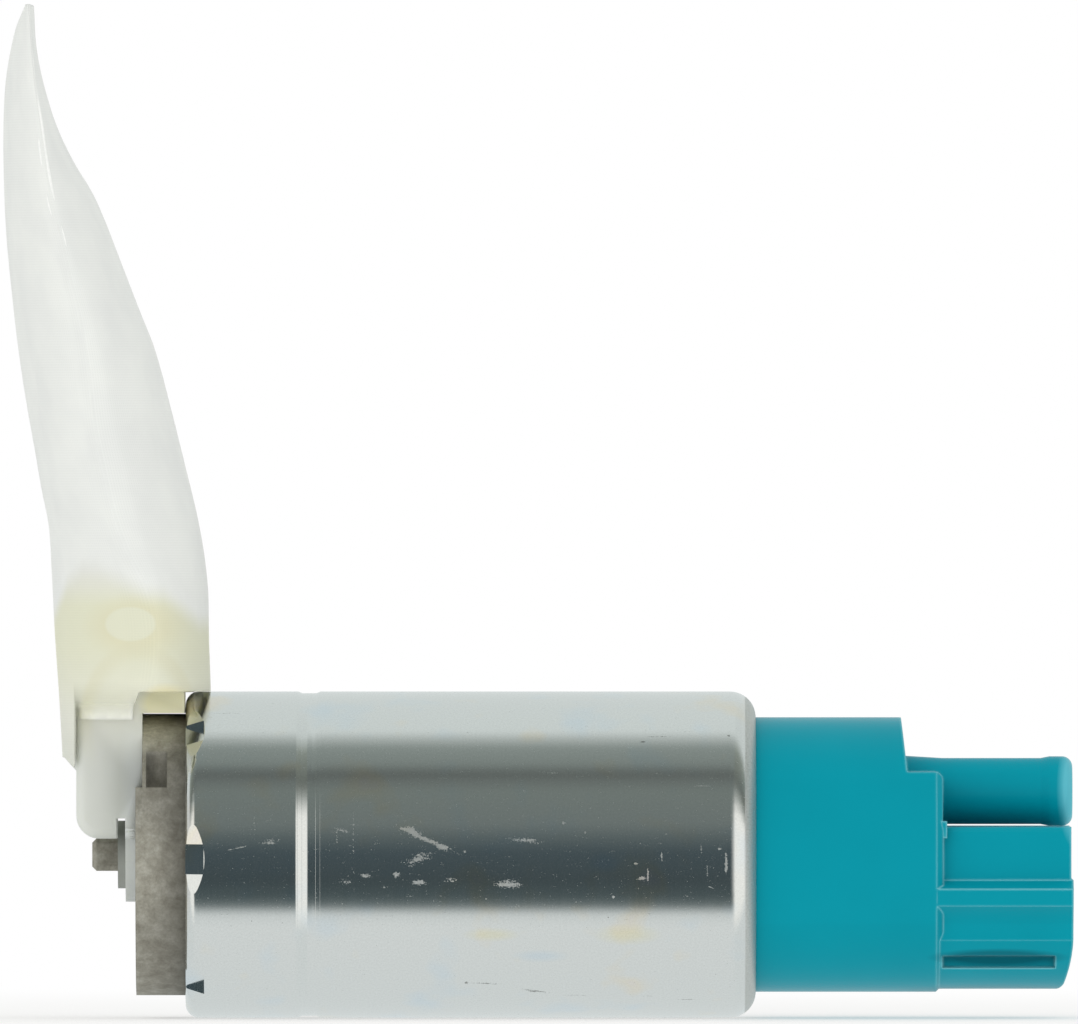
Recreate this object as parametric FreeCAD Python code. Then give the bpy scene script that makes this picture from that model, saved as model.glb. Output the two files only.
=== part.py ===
import FreeCAD, Part
import math
import os

# In-tank fuel pump, in millimetres.
# The pump's axis is X with the outlet at +X. The strainer stands up along +Z.
# The origin is on the pump's axis, at the middle of the housing tube's length.

V = FreeCAD.Vector
AXIS_POINT = V(0, 0, 0)
AXIS_X = V(1, 0, 0)
AXIS_Y = V(0, 1, 0)

# Clearances
FIT_GAP = 0.05  # radial gap of pieces slid or pressed into each other
RUNNING_GAP = 0.03  # radial gap of the shaft in its bearings
SHIFT_GAP = 0.3  # gap around pieces that slide or flex
LIP_GAP = 0.2  # radial gap between a folded lip and the cover inside it

# Housing tube, with both ends folded in over the covers
HOUSING_R = 19.0
HOUSING_WALL = 1.4
HOUSING_LENGTH = 66.4
OUTLET_ROLL_R = 3.0
INLET_LIP = 1.2
INLET_LIP_REACH = 1.2
INLET_CORNER_R = 1.5
BEAD_FROM_INLET = 13.1
BEAD_WIDTH = 2.6
BEAD_SLOPE = 0.5
BEAD_DEPTH = 0.2
DENT_COUNT = 7
DENT_LENGTH = 2.3
DENT_SLOPE = 0.4
DENT_WIDTH = 11.8
PIT_LENGTH = 2.2
PIT_WIDTH = 3.5
PIT_DEPTH = 1.1
DENT_TURN = 1.3

# Inlet cover casting
DRUM_LENGTH = 5.75
INLET_FLANGE = 4.0
FACE_RELIEF = 0.75
FACE_RELIEF_FROM_Z = 7.9
DRUM_RIM_WIDTH = 2.2
DRUM_WINDOW_FROM_FACE = 1.25
DRUM_WINDOW_WIDTH = 2.4
DRUM_WINDOW_HEIGHT = 4.9
DRUM_WINDOW_DEPTH = 1.6
DRUM_RIB_WIDTH = 1.6
DRUM_RIB_DEPTH = 2.6
POCKET_ANGLES = (125.0, 160.0, 200.0, 235.0)
POCKET_SWEEP = 26.0
PIN_WIDTH = 3.8
PIN_CHAMFER = 0.55
PIN_LENGTH = 5.15
PIN_END_R = 0.5
PORT_INNER_R = 9.8
PORT_OUTER_R = 14.2
PORT_HALF_ANGLE = 13.0
CHANNEL_R = 12.9
CHANNEL_DEPTH = 1.3
CHANNEL_SWEEP = 300.0
THRUST_PAD_R = 2.4
THRUST_PAD_THICKNESS = 1.2
THRUST_GAP = 0.1
THRUST_SEAT_DEPTH = 2.0

# Pump stage
IMPELLER_THICKNESS = 3.3
IMPELLER_SIDE_GAP = 0.15
IMPELLER_RIM_GAP = 0.3
IMPELLER_POCKET_WALL = 2.3
VANE_COUNT = 24
VANE_SLOT_LENGTH = 2.4
VANE_SLOT_WIDTH = 1.5
VANE_RIM = 0.7
PORT_OUT_R = 1.4
CASING_BOSS_R = 6.2
CASING_BOSS_LENGTH = 2.5
BEARING_R = 3.5
FRONT_BEARING_LENGTH = 5.6
REAR_BEARING_LENGTH = 5.0

# Rotor
SHAFT_R = 2.0
SHAFT_FLAT = 1.5
MAGNET_THICKNESS = 4.0
MAGNET_OVERHANG = 4.0
MAGNET_HALF_ANGLE = 74.0
CLIP_THICKNESS = 0.6
CLIP_HALF_ANGLE = 12.5
CLIP_LEG = 2.6
CLIP_LEG_INSET_ANGLE = 1.0
CLIP_SHORTER = 4.0
AIR_GAP = 0.6
SLOT_COUNT = 8
SLOT_LIP = 1.55
TOOTH_WIDTH = 1.812
SLOT_MOUTH = 1.8
WINDING_GAP = 0.25
WINDING_OVERHANG = 4.4
WINDING_INNER_R = 5.0
WINDING_BELOW_CORE = 0.9
WINDING_SOFT_R = 1.4
ROTOR_END_GAP = 1.1
COMMUTATOR_ROOM = 2.6
COMMUTATOR_THICKNESS = 4.0
COMMUTATOR_TANG = 0.8
TANG_LENGTH = 1.2
TANG_WIDTH = 2.0
COMMUTATOR_SLIT = 0.6
COMMUTATOR_SLIT_DEPTH = 0.9
COMMUTATOR_FROM_OUTLET = 12.2

# Outlet cover moulding
COVER_IN_TUBE = 15.7
COVER_WEB_HALF = 0.8
COVER_WEB_SETBACK = 2.0
SHAFT_ROOM_LENGTH = 8.0
COVER_WALL = 2.1
COVER_END_WALL = 7.4
COVER_REACH = 21.7
CAP_STEP_FROM_END = 4.1
CAP_STEP_Z = 9.7
CAP_STEP_SLANT = 0.8
CAP_CORNER_R = 1.0
CAP_EDGE_R = 0.7
SEAL_FROM_OUTLET = 6.0
SEAL_SECTION_R = 0.95
SEAL_SQUEEZE = 0.05
HUB_R = 4.7
HUB_END_GAP = 0.8

# Outlet nipple
NIPPLE_Z = 7.4
NIPPLE_R = 3.85
NIPPLE_ROOT_RISE = 0.3
NIPPLE_LENGTH = 15.2
NIPPLE_BEAD_LENGTH = 3.7
NIPPLE_BEAD_SLOPE = 1.0
NIPPLE_BEAD_HEIGHT = 0.2
NIPPLE_END_R = 1.2
NIPPLE_BORE_R = 2.4
HOSE_ROOM = 2.55

# Connector shroud
SHROUD_TOP_Z = 3.3
SHROUD_TOP_R = 0.5
SHROUD_WALL = 1.6
SHROUD_FLAT_Y = 13.7
SHROUD_FLAT_END_Z = -2.9
RIB_TOP_Z = -3.9
RIB_BOTTOM_Z = -5.9
GROOVE_BOTTOM_Z = -9.9
GROOVE_DEPTH = 1.1
SHROUD_RECESS = 0.35
SHROUD_END_REACH = 1.86
SHROUD_END_RISE = 7.1
SHROUD_FLAT_SETBACK = 0.25
SHROUD_FLOOR = 2.1
SOCKET_HALF_WIDTH = 11.6
LATCH_SLOT_TOP_Z = -11.7
LATCH_SLOT_HEIGHT = 1.4
LATCH_SLOT_LENGTH = 13.1
LATCH_SLOT_DEPTH = 1.5
NUB_Z = 3.0
NUB_HEIGHT = 2.0
NUB_WIDTH = 0.9
NUB_LENGTH = 0.5

# Brushes, chokes and terminals
BRUSH_FROM_RIM = 0.5
BRUSH_WIDTH = 4.2
BRUSH_HEIGHT = 6.0
BRUSH_LENGTH = 9.0
BRUSH_CHAMFER = 0.4
BRUSH_GAP = 0.12
BRUSH_FACE_GAP = 0.05
BRUSH_BOX_WALL = 1.0
BRUSH_BOX_DEPTH = 16.0
BRUSH_SPRING_R = 1.6
BRUSH_WIRE_R = 0.25
BRUSH_SPRING_TURNS = 5
TERMINAL_Y = 5.0
TERMINAL_Z = -6.35
TERMINAL_WIDTH = 6.3
TERMINAL_THICKNESS = 0.8
TERMINAL_END_RECESS = 3.6
TERMINAL_TAIL = 2.0
TERMINAL_POINT = 1.0
CHOKE_FROM_SKIRT = 1.6
CHOKE_R = 2.0
CHOKE_LENGTH = 11.0
CHOKE_LEAD_R = 0.35
CHOKE_LEAD_LENGTH = 7.5
CHOKE_LEAD_STUB = 2.0
CHOKE_TURNS = 7
CHOKE_GROOVE = 0.3

# Check valve in the nipple's bore
CHECK_BORE_R = 3.0
CHECK_BORE_END = 1.9
CHECK_SEAT_FROM_OUTLET = 4.8
CHECK_SEAT_LENGTH = 3.0
CHECK_SEAT_HOLE_R = 1.7
CHECK_SEAT_BEVEL = 0.3
CHECK_HEAD_R = 2.2
CHECK_HEAD_LENGTH = 1.3
CHECK_FLANGE_LENGTH = 1.0
CHECK_FLANGE_GAP = 0.2
CHECK_FLUTE_R = 0.9
CHECK_FLUTE_RUN = 0.5
CHECK_STEM_R = 1.5
CHECK_STEM_LENGTH = 4.6
CHECK_STEM_BEVEL = 0.5
CHECK_FACE_GAP = 0.05
CHECK_WIRE_R = 0.2
CHECK_SPRING_TURNS = 5

# Relief valve beside it
RELIEF_FROM_SKIRT = 0.22
RELIEF_TURN = 42.6
RELIEF_BORE_R = 2.0
RELIEF_WALL = 1.1
RELIEF_SEAT_FROM_OUTLET = -3.2
RELIEF_SEAT_LENGTH = 3.0
RELIEF_SEAT_HOLE_R = 1.0
RELIEF_BALL_R = 1.6
RELIEF_BORE_LENGTH = 20.0
RELIEF_EXIT_R = 1.0
RELIEF_SPRING_R = 1.3
RELIEF_WIRE_R = 0.18
RELIEF_SPRING_TURNS = 5

# Strainer base moulding and the push-on washer that holds it
PLATE_THICKNESS = 1.25
PLATE_R = 5.5
FLARE_FOOT_Z = -1.0
PIN_HOLE_GAP = 0.15
WASHER_R = 3.95
WASHER_THICKNESS = 0.45
WASHER_HEIGHT = 0.9
WASHER_RIM = 0.55
WASHER_SLOT_COUNT = 8
WASHER_SLOT_WIDTH = 0.5
WASHER_SLOT_END_R = 3.1
WASHER_TOOL_R = 4.8
HOOD_DEPTH = 6.95
HOOD_HALF_WIDTH = 9.0
HOOD_WALL = 1.3
HOOD_BOTTOM_Z = 1.9
HOOD_CORNER_R = 2.7
HOOD_SHOULDER_Z = 18.6
HOOD_LEFT_BOW = 1.3
HOOD_RIGHT_BOW = 0.8
HOOD_EDGE_R = 1.2
HOOD_TOP_Z = 24.2
HOOD_BACK_X = -32.2
SADDLE_GAP = 0.1
BAG_OVER_TUBE = 0.4
WASHER_ROOM = 0.3
THROAT_TOP_Z = 33.0
THROAT_WALL = 1.2
THROAT_WINDOW_TOP_Z = 28.6
THROAT_WINDOW_HEIGHT = 3.7
THROAT_WINDOW_WIDTH = 5.8
THROAT_WINDOW_BOW = 1.7
THROAT_WINDOW_X = -39.5
FACE_WINDOW_WIDTH = 7.2
FACE_WINDOW_PITCH = 10.0
FACE_WINDOW_SILL = 1.0
THROAT_RAIL = 2.0

# Strainer bag: height, outer face, pump-side face, side seam and half width
BAG_WALL = 0.5
BAG_STATIONS = [
    (9.0, -47.4, -30.3, -39.0, 17.0),
    (20.0, -47.9, -30.4, -39.0, 19.0),
    (33.0, -48.7, -31.0, -38.9, 21.3),
    (48.0, -50.9, -34.0, -43.2, 22.3),
    (62.5, -53.0, -38.3, -45.6, 22.5),
    (77.0, -54.2, -44.1, -48.9, 22.1),
    (88.0, -54.2, -49.4, -51.2, 20.9),
    (94.5, -53.3, -50.8, -52.0, 18.6),
    (98.9, -51.8, -51.0, -51.4, 16.0),
]
BAG_FULLNESS = 0.88
BAG_BOTTOM_Z = 15.8
BAG_TAIL_Z = 9.8
BAG_TAIL_CORNER = 1.6

# How far cutters run past what they cut
CUT_REACH = 110.0

# Places worked out from the sizes above
BORE_R = HOUSING_R - HOUSING_WALL
TUBE_IN_X = -HOUSING_LENGTH / 2
TUBE_OUT_X = HOUSING_LENGTH / 2
SLIP_R = BORE_R - FIT_GAP
DRUM_R = BORE_R - INLET_LIP_REACH
FACE_X = TUBE_IN_X - DRUM_LENGTH
PIN_X = FACE_X - PIN_LENGTH
FLANGE_X = TUBE_IN_X + INLET_LIP
STAGE_X = FLANGE_X + INLET_FLANGE
BEAD_X = TUBE_IN_X + BEAD_FROM_INLET
POCKET_X = STAGE_X + IMPELLER_THICKNESS + 2 * IMPELLER_SIDE_GAP
IMPELLER_X = STAGE_X + IMPELLER_SIDE_GAP
IMPELLER_R = SLIP_R - IMPELLER_POCKET_WALL - IMPELLER_RIM_GAP
BOSS_X = BEAD_X + CASING_BOSS_LENGTH
SHAFT_IN_X = STAGE_X - THRUST_SEAT_DEPTH + THRUST_PAD_THICKNESS + THRUST_GAP
CAP_R = HOUSING_R - OUTLET_ROLL_R
CAP_END_X = TUBE_OUT_X + COVER_REACH
NIPPLE_END_X = CAP_END_X + NIPPLE_LENGTH
COMMUTATOR_X = TUBE_OUT_X - COMMUTATOR_FROM_OUTLET
HUB_X = COMMUTATOR_X + HUB_END_GAP
CAVITY_END_X = CAP_END_X - COVER_END_WALL
SOCKET_FLOOR_X = CAP_END_X + SHROUD_FLOOR
CORE_IN_X = BOSS_X + ROTOR_END_GAP + WINDING_OVERHANG
CORE_OUT_X = COMMUTATOR_X - COMMUTATOR_THICKNESS - ROTOR_END_GAP / 2 - WINDING_OVERHANG
MAGNET_INNER_R = SLIP_R - MAGNET_THICKNESS
CORE_R = MAGNET_INNER_R - AIR_GAP
SLOT_PITCH = 2 * math.sin(math.pi / SLOT_COUNT)
SLOT_R = ((CORE_R - SLOT_LIP) * SLOT_PITCH - TOOTH_WIDTH) / (2 + SLOT_PITCH)
SLOT_CENTRE_R = CORE_R - SLOT_LIP - SLOT_R
COMMUTATOR_R = CAP_R - COVER_WALL - COMMUTATOR_ROOM - COMMUTATOR_TANG
BRUSH_Y = COMMUTATOR_R - BRUSH_FROM_RIM - BRUSH_WIDTH / 2
RELIEF_FROM_AXIS = CAP_R - COVER_WALL - RELIEF_BORE_R - RELIEF_FROM_SKIRT
RELIEF_Y = RELIEF_FROM_AXIS * math.cos(math.radians(RELIEF_TURN))
RELIEF_Z = RELIEF_FROM_AXIS * math.sin(math.radians(RELIEF_TURN))
CHOKE_FROM_AXIS = CAP_R - COVER_WALL - CHOKE_R - CHOKE_FROM_SKIRT
CHOKE_Z = -math.sqrt(CHOKE_FROM_AXIS**2 - TERMINAL_Y**2)
PLATE_X = FACE_X - PLATE_THICKNESS
FRONT_BEARING_X = POCKET_X + 2 * IMPELLER_SIDE_GAP
SHAFT_OUT_X = HUB_X + REAR_BEARING_LENGTH - FIT_GAP
VALVE_END_X = CAP_END_X - CHECK_BORE_END
CHECK_SEAT_X = TUBE_OUT_X + CHECK_SEAT_FROM_OUTLET
RELIEF_SEAT_X = TUBE_OUT_X + RELIEF_SEAT_FROM_OUTLET
RELIEF_END_X = HUB_X + RELIEF_BORE_LENGTH


def on_xz(point):
    """Place a 2-D point (x, z) in space."""
    return V(point[0], 0, point[1])


def on_yz(point):
    """Place a 2-D point (y, z) in space."""
    return V(0, point[0], point[1])


def outline(place, steps):
    """Closed wire. A step is a point, or an arc's middle point and end point."""
    edges = []
    here = steps[0]
    for step in steps[1:] + [steps[0]]:
        if isinstance(step[0], tuple):
            middle, end = step
            edges.append(Part.Arc(place(here), place(middle), place(end)).toShape())
        elif step != here:
            end = step
            edges.append(Part.LineSegment(place(here), place(end)).toShape())
        here = end
    return Part.Wire(edges)


def bowed(start, end, bow):
    """Arc step from start to end that bows out to the left of its way by a given height."""
    dx = end[0] - start[0]
    dz = end[1] - start[1]
    length = math.hypot(dx, dz)
    middle = (
        (start[0] + end[0]) / 2 - dz / length * bow,
        (start[1] + end[1]) / 2 + dx / length * bow,
    )
    return (middle, end)


def turned(steps, degrees=360.0):
    """Profile of (x, radius) points turned about the pump's axis."""
    face = Part.Face(outline(on_xz, steps))
    return face.revolve(AXIS_POINT, AXIS_X, degrees)


def ring(x, radius, section_r, degrees=360.0):
    """Ring round the pump's axis with an eight-sided section that holds a circle."""
    corner_r = section_r / math.cos(math.pi / 8)
    steps = []
    for index in range(8):
        angle = math.pi * (2 * index + 1) / 8
        steps.append((x + corner_r * math.cos(angle), radius + corner_r * math.sin(angle)))
    return turned(steps, degrees)


def along_x(steps, x0, x1):
    """Outline of (y, z) points carried along X."""
    face = Part.Face(outline(on_yz, steps))
    face.translate(V(x0, 0, 0))
    return face.extrude(V(x1 - x0, 0, 0))


def along_y(steps, half_width, y_middle=0.0):
    """Outline of (x, z) points carried along Y, both ways from its middle."""
    face = Part.Face(outline(on_xz, steps))
    face.translate(V(0, y_middle - half_width, 0))
    return face.extrude(V(0, 2 * half_width, 0))


def rod(x0, x1, radius, y=0.0, z=0.0):
    """Round bar along X."""
    return Part.makeCylinder(radius, x1 - x0, V(x0, y, z), AXIS_X)


def tube(x0, x1, outer, inner, y=0.0, z=0.0):
    """Round tube along X."""
    return rod(x0, x1, outer, y, z).cut(rod(x0, x1, inner, y, z))


def block(x0, x1, y0, y1, z0, z1):
    """Box between two corners."""
    return Part.makeBox(x1 - x0, y1 - y0, z1 - z0, V(x0, y0, z0))


def around(shape, count, start=0.0):
    """Copies of a shape, evenly round the pump's axis."""
    copies = []
    for index in range(count):
        copy = shape.copy()
        copy.rotate(AXIS_POINT, AXIS_X, start + index * 360.0 / count)
        copies.append(copy)
    return copies


def mirrored(shape):
    """The shape on the other side of the pump's middle plane."""
    return shape.mirror(AXIS_POINT, AXIS_Y)


def spring(x0, x1, coil_r, wire_r, turns, y=0.0, z=0.0):
    """Coil spring along X, between two planes that its ends lie on."""
    length = x1 - x0 - 2 * wire_r
    path = Part.Wire(Part.makeHelix(length / turns, length, coil_r).Edges)
    corners = []
    for index in range(7):
        angle = math.radians(60.0 * index)
        corners.append(V(coil_r + wire_r * math.cos(angle), 0, wire_r * math.sin(angle)))
    section = Part.makePolygon(corners)
    coil = path.makePipeShell([section], True, True)
    coil.rotate(AXIS_POINT, AXIS_Y, 90)
    coil.translate(V(x0 + wire_r, y, z))
    return coil


def flatness(coord, radius):
    """Distance from the axis plane to a circle's edge at a given height."""
    return math.sqrt(radius * radius - coord * coord)


def save(name, shape):
    """Write one node."""
    solids = shape.Solids
    whole = solids[0] if len(solids) == 1 else Part.makeCompound(solids)
    whole.exportStep(os.path.join("parts", name + ".step"))


# Housing


def dent_cutter():
    """One punch mark: a flat facet that slants into the tube's end, with a pit in its middle."""
    inside = TUBE_IN_X + DENT_LENGTH
    facet = along_y(
        [
            (inside, HOUSING_R),
            (TUBE_IN_X - 1, HOUSING_R - DENT_SLOPE * (DENT_LENGTH + 1)),
            (TUBE_IN_X - 1, HOUSING_R + 1),
            (inside, HOUSING_R + 1),
        ],
        DENT_WIDTH / 2,
    )
    half = PIT_WIDTH / 2
    pit_end = TUBE_IN_X + PIT_LENGTH
    floor_z = HOUSING_R - PIT_DEPTH
    pit = block(TUBE_IN_X - 1, pit_end, -half, half, floor_z, HOUSING_R + 1)
    return facet.fuse(pit)


def housing_tube():
    """Steel tube: folded in at the inlet, rolled in at the outlet, with a locating bead."""
    lip_r = DRUM_R + LIP_GAP
    mouth_r = CAP_R + LIP_GAP
    corner = INLET_CORNER_R
    bend = corner * (1 - math.sqrt(0.5))
    roll = OUTLET_ROLL_R
    inner_roll = OUTLET_ROLL_R - HOUSING_WALL
    roll_x = TUBE_OUT_X - roll
    bead_out = BEAD_X + BEAD_WIDTH

    def roll_point(radius, height):
        return (roll_x + math.sqrt(radius * radius - (height - CAP_R) ** 2), height)

    diagonal = math.sqrt(0.5)
    steps = [
        (TUBE_IN_X, lip_r),
        (TUBE_IN_X, HOUSING_R - corner),
        ((TUBE_IN_X + bend, HOUSING_R - bend), (TUBE_IN_X + corner, HOUSING_R)),
        (BEAD_X, HOUSING_R),
        (BEAD_X + BEAD_SLOPE, HOUSING_R - BEAD_DEPTH),
        (bead_out - BEAD_SLOPE, HOUSING_R - BEAD_DEPTH),
        (bead_out, HOUSING_R),
        (roll_x, HOUSING_R),
        ((roll_x + roll * diagonal, CAP_R + roll * diagonal), roll_point(roll, mouth_r)),
        roll_point(inner_roll, mouth_r),
        ((roll_x + inner_roll * diagonal, CAP_R + inner_roll * diagonal), (roll_x, BORE_R)),
        (bead_out, BORE_R),
        (bead_out - BEAD_SLOPE, BORE_R - BEAD_DEPTH),
        (BEAD_X + BEAD_SLOPE, BORE_R - BEAD_DEPTH),
        (BEAD_X, BORE_R),
        (FLANGE_X, BORE_R),
        (FLANGE_X, lip_r),
    ]
    shape = turned(steps)
    first = 90.0 + DENT_TURN
    return shape.cut(around(dent_cutter(), DENT_COUNT, first))


# Inlet cover and pump stage


def pin_outline(grow=0.0):
    """Square with cut corners, the section of the centre pin."""
    half = PIN_WIDTH / 2 + grow
    cut = half - PIN_CHAMFER
    return [
        (-half, -cut),
        (-half, cut),
        (-cut, half),
        (cut, half),
        (half, cut),
        (half, -cut),
        (cut, -half),
        (-cut, -half),
    ]


def side_channel(x):
    """Groove around the axis, with a bridge left between its two ends."""
    channel = ring(x, CHANNEL_R, CHANNEL_DEPTH, CHANNEL_SWEEP)
    channel.rotate(AXIS_POINT, AXIS_X, -PORT_HALF_ANGLE)
    return channel


def inlet_port():
    """Kidney-shaped hole through the inlet cover, above the axis."""
    port = turned(
        [
            (FACE_X - 1, PORT_INNER_R),
            (STAGE_X + 1, PORT_INNER_R),
            (STAGE_X + 1, PORT_OUTER_R),
            (FACE_X - 1, PORT_OUTER_R),
        ],
        2 * PORT_HALF_ANGLE,
    )
    port.rotate(AXIS_POINT, AXIS_X, -PORT_HALF_ANGLE)
    return port


def inlet_cover():
    """Die-cast cover with a flange under the tube's lip, the inlet port and the centre pin."""
    body = turned(
        [
            (FACE_X, 0),
            (FACE_X, DRUM_R),
            (FLANGE_X, DRUM_R),
            (FLANGE_X, SLIP_R),
            (STAGE_X, SLIP_R),
            (STAGE_X, 0),
        ]
    )
    pin = along_x(pin_outline(), PIN_X, FACE_X + 1)
    end_edges = [edge for edge in pin.Edges if abs(edge.CenterOfMass.x - PIN_X) < 1e-6]
    pin = pin.makeChamfer(PIN_END_R, end_edges)
    relief = block(
        FACE_X - 1,
        FACE_X + FACE_RELIEF,
        -HOUSING_R,
        HOUSING_R,
        FACE_RELIEF_FROM_Z,
        HOUSING_R,
    )
    window_x = FACE_X + DRUM_WINDOW_FROM_FACE
    window_y = flatness(FACE_RELIEF_FROM_Z + DRUM_WINDOW_HEIGHT / 2, DRUM_R)
    window = block(
        window_x,
        window_x + DRUM_WINDOW_WIDTH,
        -HOUSING_R,
        -window_y + DRUM_WINDOW_DEPTH,
        FACE_RELIEF_FROM_Z,
        FACE_RELIEF_FROM_Z + DRUM_WINDOW_HEIGHT,
    )
    pockets = []
    for angle in POCKET_ANGLES:
        pocket = turned(
            [
                (FACE_X - 1, PLATE_R + DRUM_RIB_WIDTH),
                (FACE_X + DRUM_RIB_DEPTH, PLATE_R + DRUM_RIB_WIDTH),
                (FACE_X + DRUM_RIB_DEPTH, DRUM_R - DRUM_RIM_WIDTH),
                (FACE_X - 1, DRUM_R - DRUM_RIM_WIDTH),
            ],
            POCKET_SWEEP,
        )
        pocket.rotate(AXIS_POINT, AXIS_X, angle - POCKET_SWEEP / 2)
        pockets.append(pocket)
    seat = rod(STAGE_X - THRUST_SEAT_DEPTH, STAGE_X + 1, THRUST_PAD_R + FIT_GAP)
    cuts = [relief, window, mirrored(window), inlet_port(), side_channel(STAGE_X), seat]
    return body.fuse(pin).cut(cuts + pockets).removeSplitter()


def thrust_pad():
    """Hard disc that the shaft's end runs against."""
    x = STAGE_X - THRUST_SEAT_DEPTH
    return rod(x, x + THRUST_PAD_THICKNESS, THRUST_PAD_R)


def impeller():
    """Disc with a ring of open vanes and a bore with one flat."""
    x1 = IMPELLER_X + IMPELLER_THICKNESS
    disc = rod(IMPELLER_X, x1, IMPELLER_R)
    slot_r = IMPELLER_R - VANE_RIM
    half = VANE_SLOT_WIDTH / 2
    slot = block(IMPELLER_X - 1, x1 + 1, -half, half, slot_r - VANE_SLOT_LENGTH, slot_r)
    bore = rod(IMPELLER_X - 1, x1 + 1, SHAFT_R + RUNNING_GAP)
    flat = SHAFT_FLAT + RUNNING_GAP
    bore = bore.cut(block(IMPELLER_X - 2, x1 + 2, -SHAFT_R * 2, SHAFT_R * 2, flat, SHAFT_R * 2))
    return disc.cut(around(slot, VANE_COUNT) + [bore])


def pump_casing():
    """Cup around the impeller, seated on the tube's bead, with the front bearing's boss."""
    pocket_r = IMPELLER_R + IMPELLER_RIM_GAP
    body = turned(
        [
            (STAGE_X, pocket_r),
            (STAGE_X, SLIP_R),
            (BEAD_X, SLIP_R),
            (BEAD_X, CASING_BOSS_R),
            (BOSS_X, CASING_BOSS_R),
            (BOSS_X, BEARING_R + FIT_GAP),
            (FRONT_BEARING_X, BEARING_R + FIT_GAP),
            (FRONT_BEARING_X, SHAFT_R + SHIFT_GAP),
            (POCKET_X, SHAFT_R + SHIFT_GAP),
            (POCKET_X, pocket_r),
        ]
    )
    outlet = rod(POCKET_X - 1, BEAD_X + 1, PORT_OUT_R, 0, CHANNEL_R)
    outlet.rotate(AXIS_POINT, AXIS_X, CHANNEL_SWEEP - PORT_HALF_ANGLE)
    return body.cut([side_channel(POCKET_X), outlet])


def front_bearing():
    """Plain bush in the pump casing."""
    x1 = FRONT_BEARING_X + FRONT_BEARING_LENGTH
    return tube(FRONT_BEARING_X, x1, BEARING_R, SHAFT_R + RUNNING_GAP)


# Rotor


def shaft():
    """Ground steel shaft with a flat where it drives the impeller."""
    bar = rod(SHAFT_IN_X, SHAFT_OUT_X, SHAFT_R)
    flat_end = POCKET_X - IMPELLER_SIDE_GAP / 2
    flat = block(SHAFT_IN_X - 1, flat_end, -SHAFT_R * 2, SHAFT_R * 2, SHAFT_FLAT, SHAFT_R * 2)
    return bar.cut(flat)


def slot_cutter(x0, x1, radius, mouth):
    """Winding slot: a round bottom with a narrow mouth at the rim."""
    round_part = rod(x0, x1, radius, 0, SLOT_CENTRE_R)
    mouth_part = block(x0, x1, -mouth / 2, mouth / 2, SLOT_CENTRE_R, CORE_R + 1)
    return round_part.fuse(mouth_part)


def armature_core():
    """Stack of laminations with round-bottomed winding slots."""
    core = tube(CORE_IN_X, CORE_OUT_X, CORE_R, SHAFT_R + RUNNING_GAP)
    cutter = slot_cutter(CORE_IN_X - 1, CORE_OUT_X + 1, SLOT_R, SLOT_MOUTH)
    return core.cut(around(cutter, SLOT_COUNT))


def armature_windings():
    """Copper wire: a bundle in every slot, joined by the end turns on both sides."""
    outer = CORE_R - WINDING_BELOW_CORE
    soft = WINDING_SOFT_R
    pieces = []
    for near, far in ((CORE_IN_X, -1), (CORE_OUT_X, 1)):
        x0 = near + far * FIT_GAP
        x1 = near + far * WINDING_OVERHANG
        ring = turned(
            [
                (x0, WINDING_INNER_R),
                (x0, outer),
                (x1 - far * soft, outer),
                (x1, outer - soft),
                (x1, WINDING_INNER_R + soft),
                (x1 - far * soft, WINDING_INNER_R),
            ]
        )
        pieces.append(ring)
    bundle = rod(CORE_IN_X - 1, CORE_OUT_X + 1, SLOT_R - WINDING_GAP, 0, SLOT_CENTRE_R)
    pieces += around(bundle, SLOT_COUNT)
    return pieces[0].fuse(pieces[1:]).removeSplitter()


def commutator():
    """Flat-faced carbon commutator with a slit between segments and wire tangs."""
    x0 = COMMUTATOR_X - COMMUTATOR_THICKNESS
    disc = tube(x0, COMMUTATOR_X, COMMUTATOR_R, SHAFT_R + RUNNING_GAP)
    tang_r = COMMUTATOR_R + COMMUTATOR_TANG
    half = TANG_WIDTH / 2
    tang = block(x0, x0 + TANG_LENGTH, -half, half, COMMUTATOR_R - 1, tang_r)
    disc = disc.fuse(around(tang, SLOT_COUNT, 180.0 / SLOT_COUNT))
    half = COMMUTATOR_SLIT / 2
    slit_x = COMMUTATOR_X - COMMUTATOR_SLIT_DEPTH
    slit = block(slit_x, COMMUTATOR_X + 1, -half, half, SHAFT_R * 2, tang_r + 1)
    return disc.cut(around(slit, SLOT_COUNT)).removeSplitter()


def magnet(middle_angle):
    """Arc-shaped ferrite magnet against the tube's bore."""
    x0 = CORE_IN_X - MAGNET_OVERHANG
    x1 = CORE_OUT_X + MAGNET_OVERHANG
    shell = turned(
        [(x0, MAGNET_INNER_R), (x0, SLIP_R), (x1, SLIP_R), (x1, MAGNET_INNER_R)],
        2 * MAGNET_HALF_ANGLE,
    )
    shell.rotate(AXIS_POINT, AXIS_X, middle_angle - MAGNET_HALF_ANGLE)
    return shell


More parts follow.
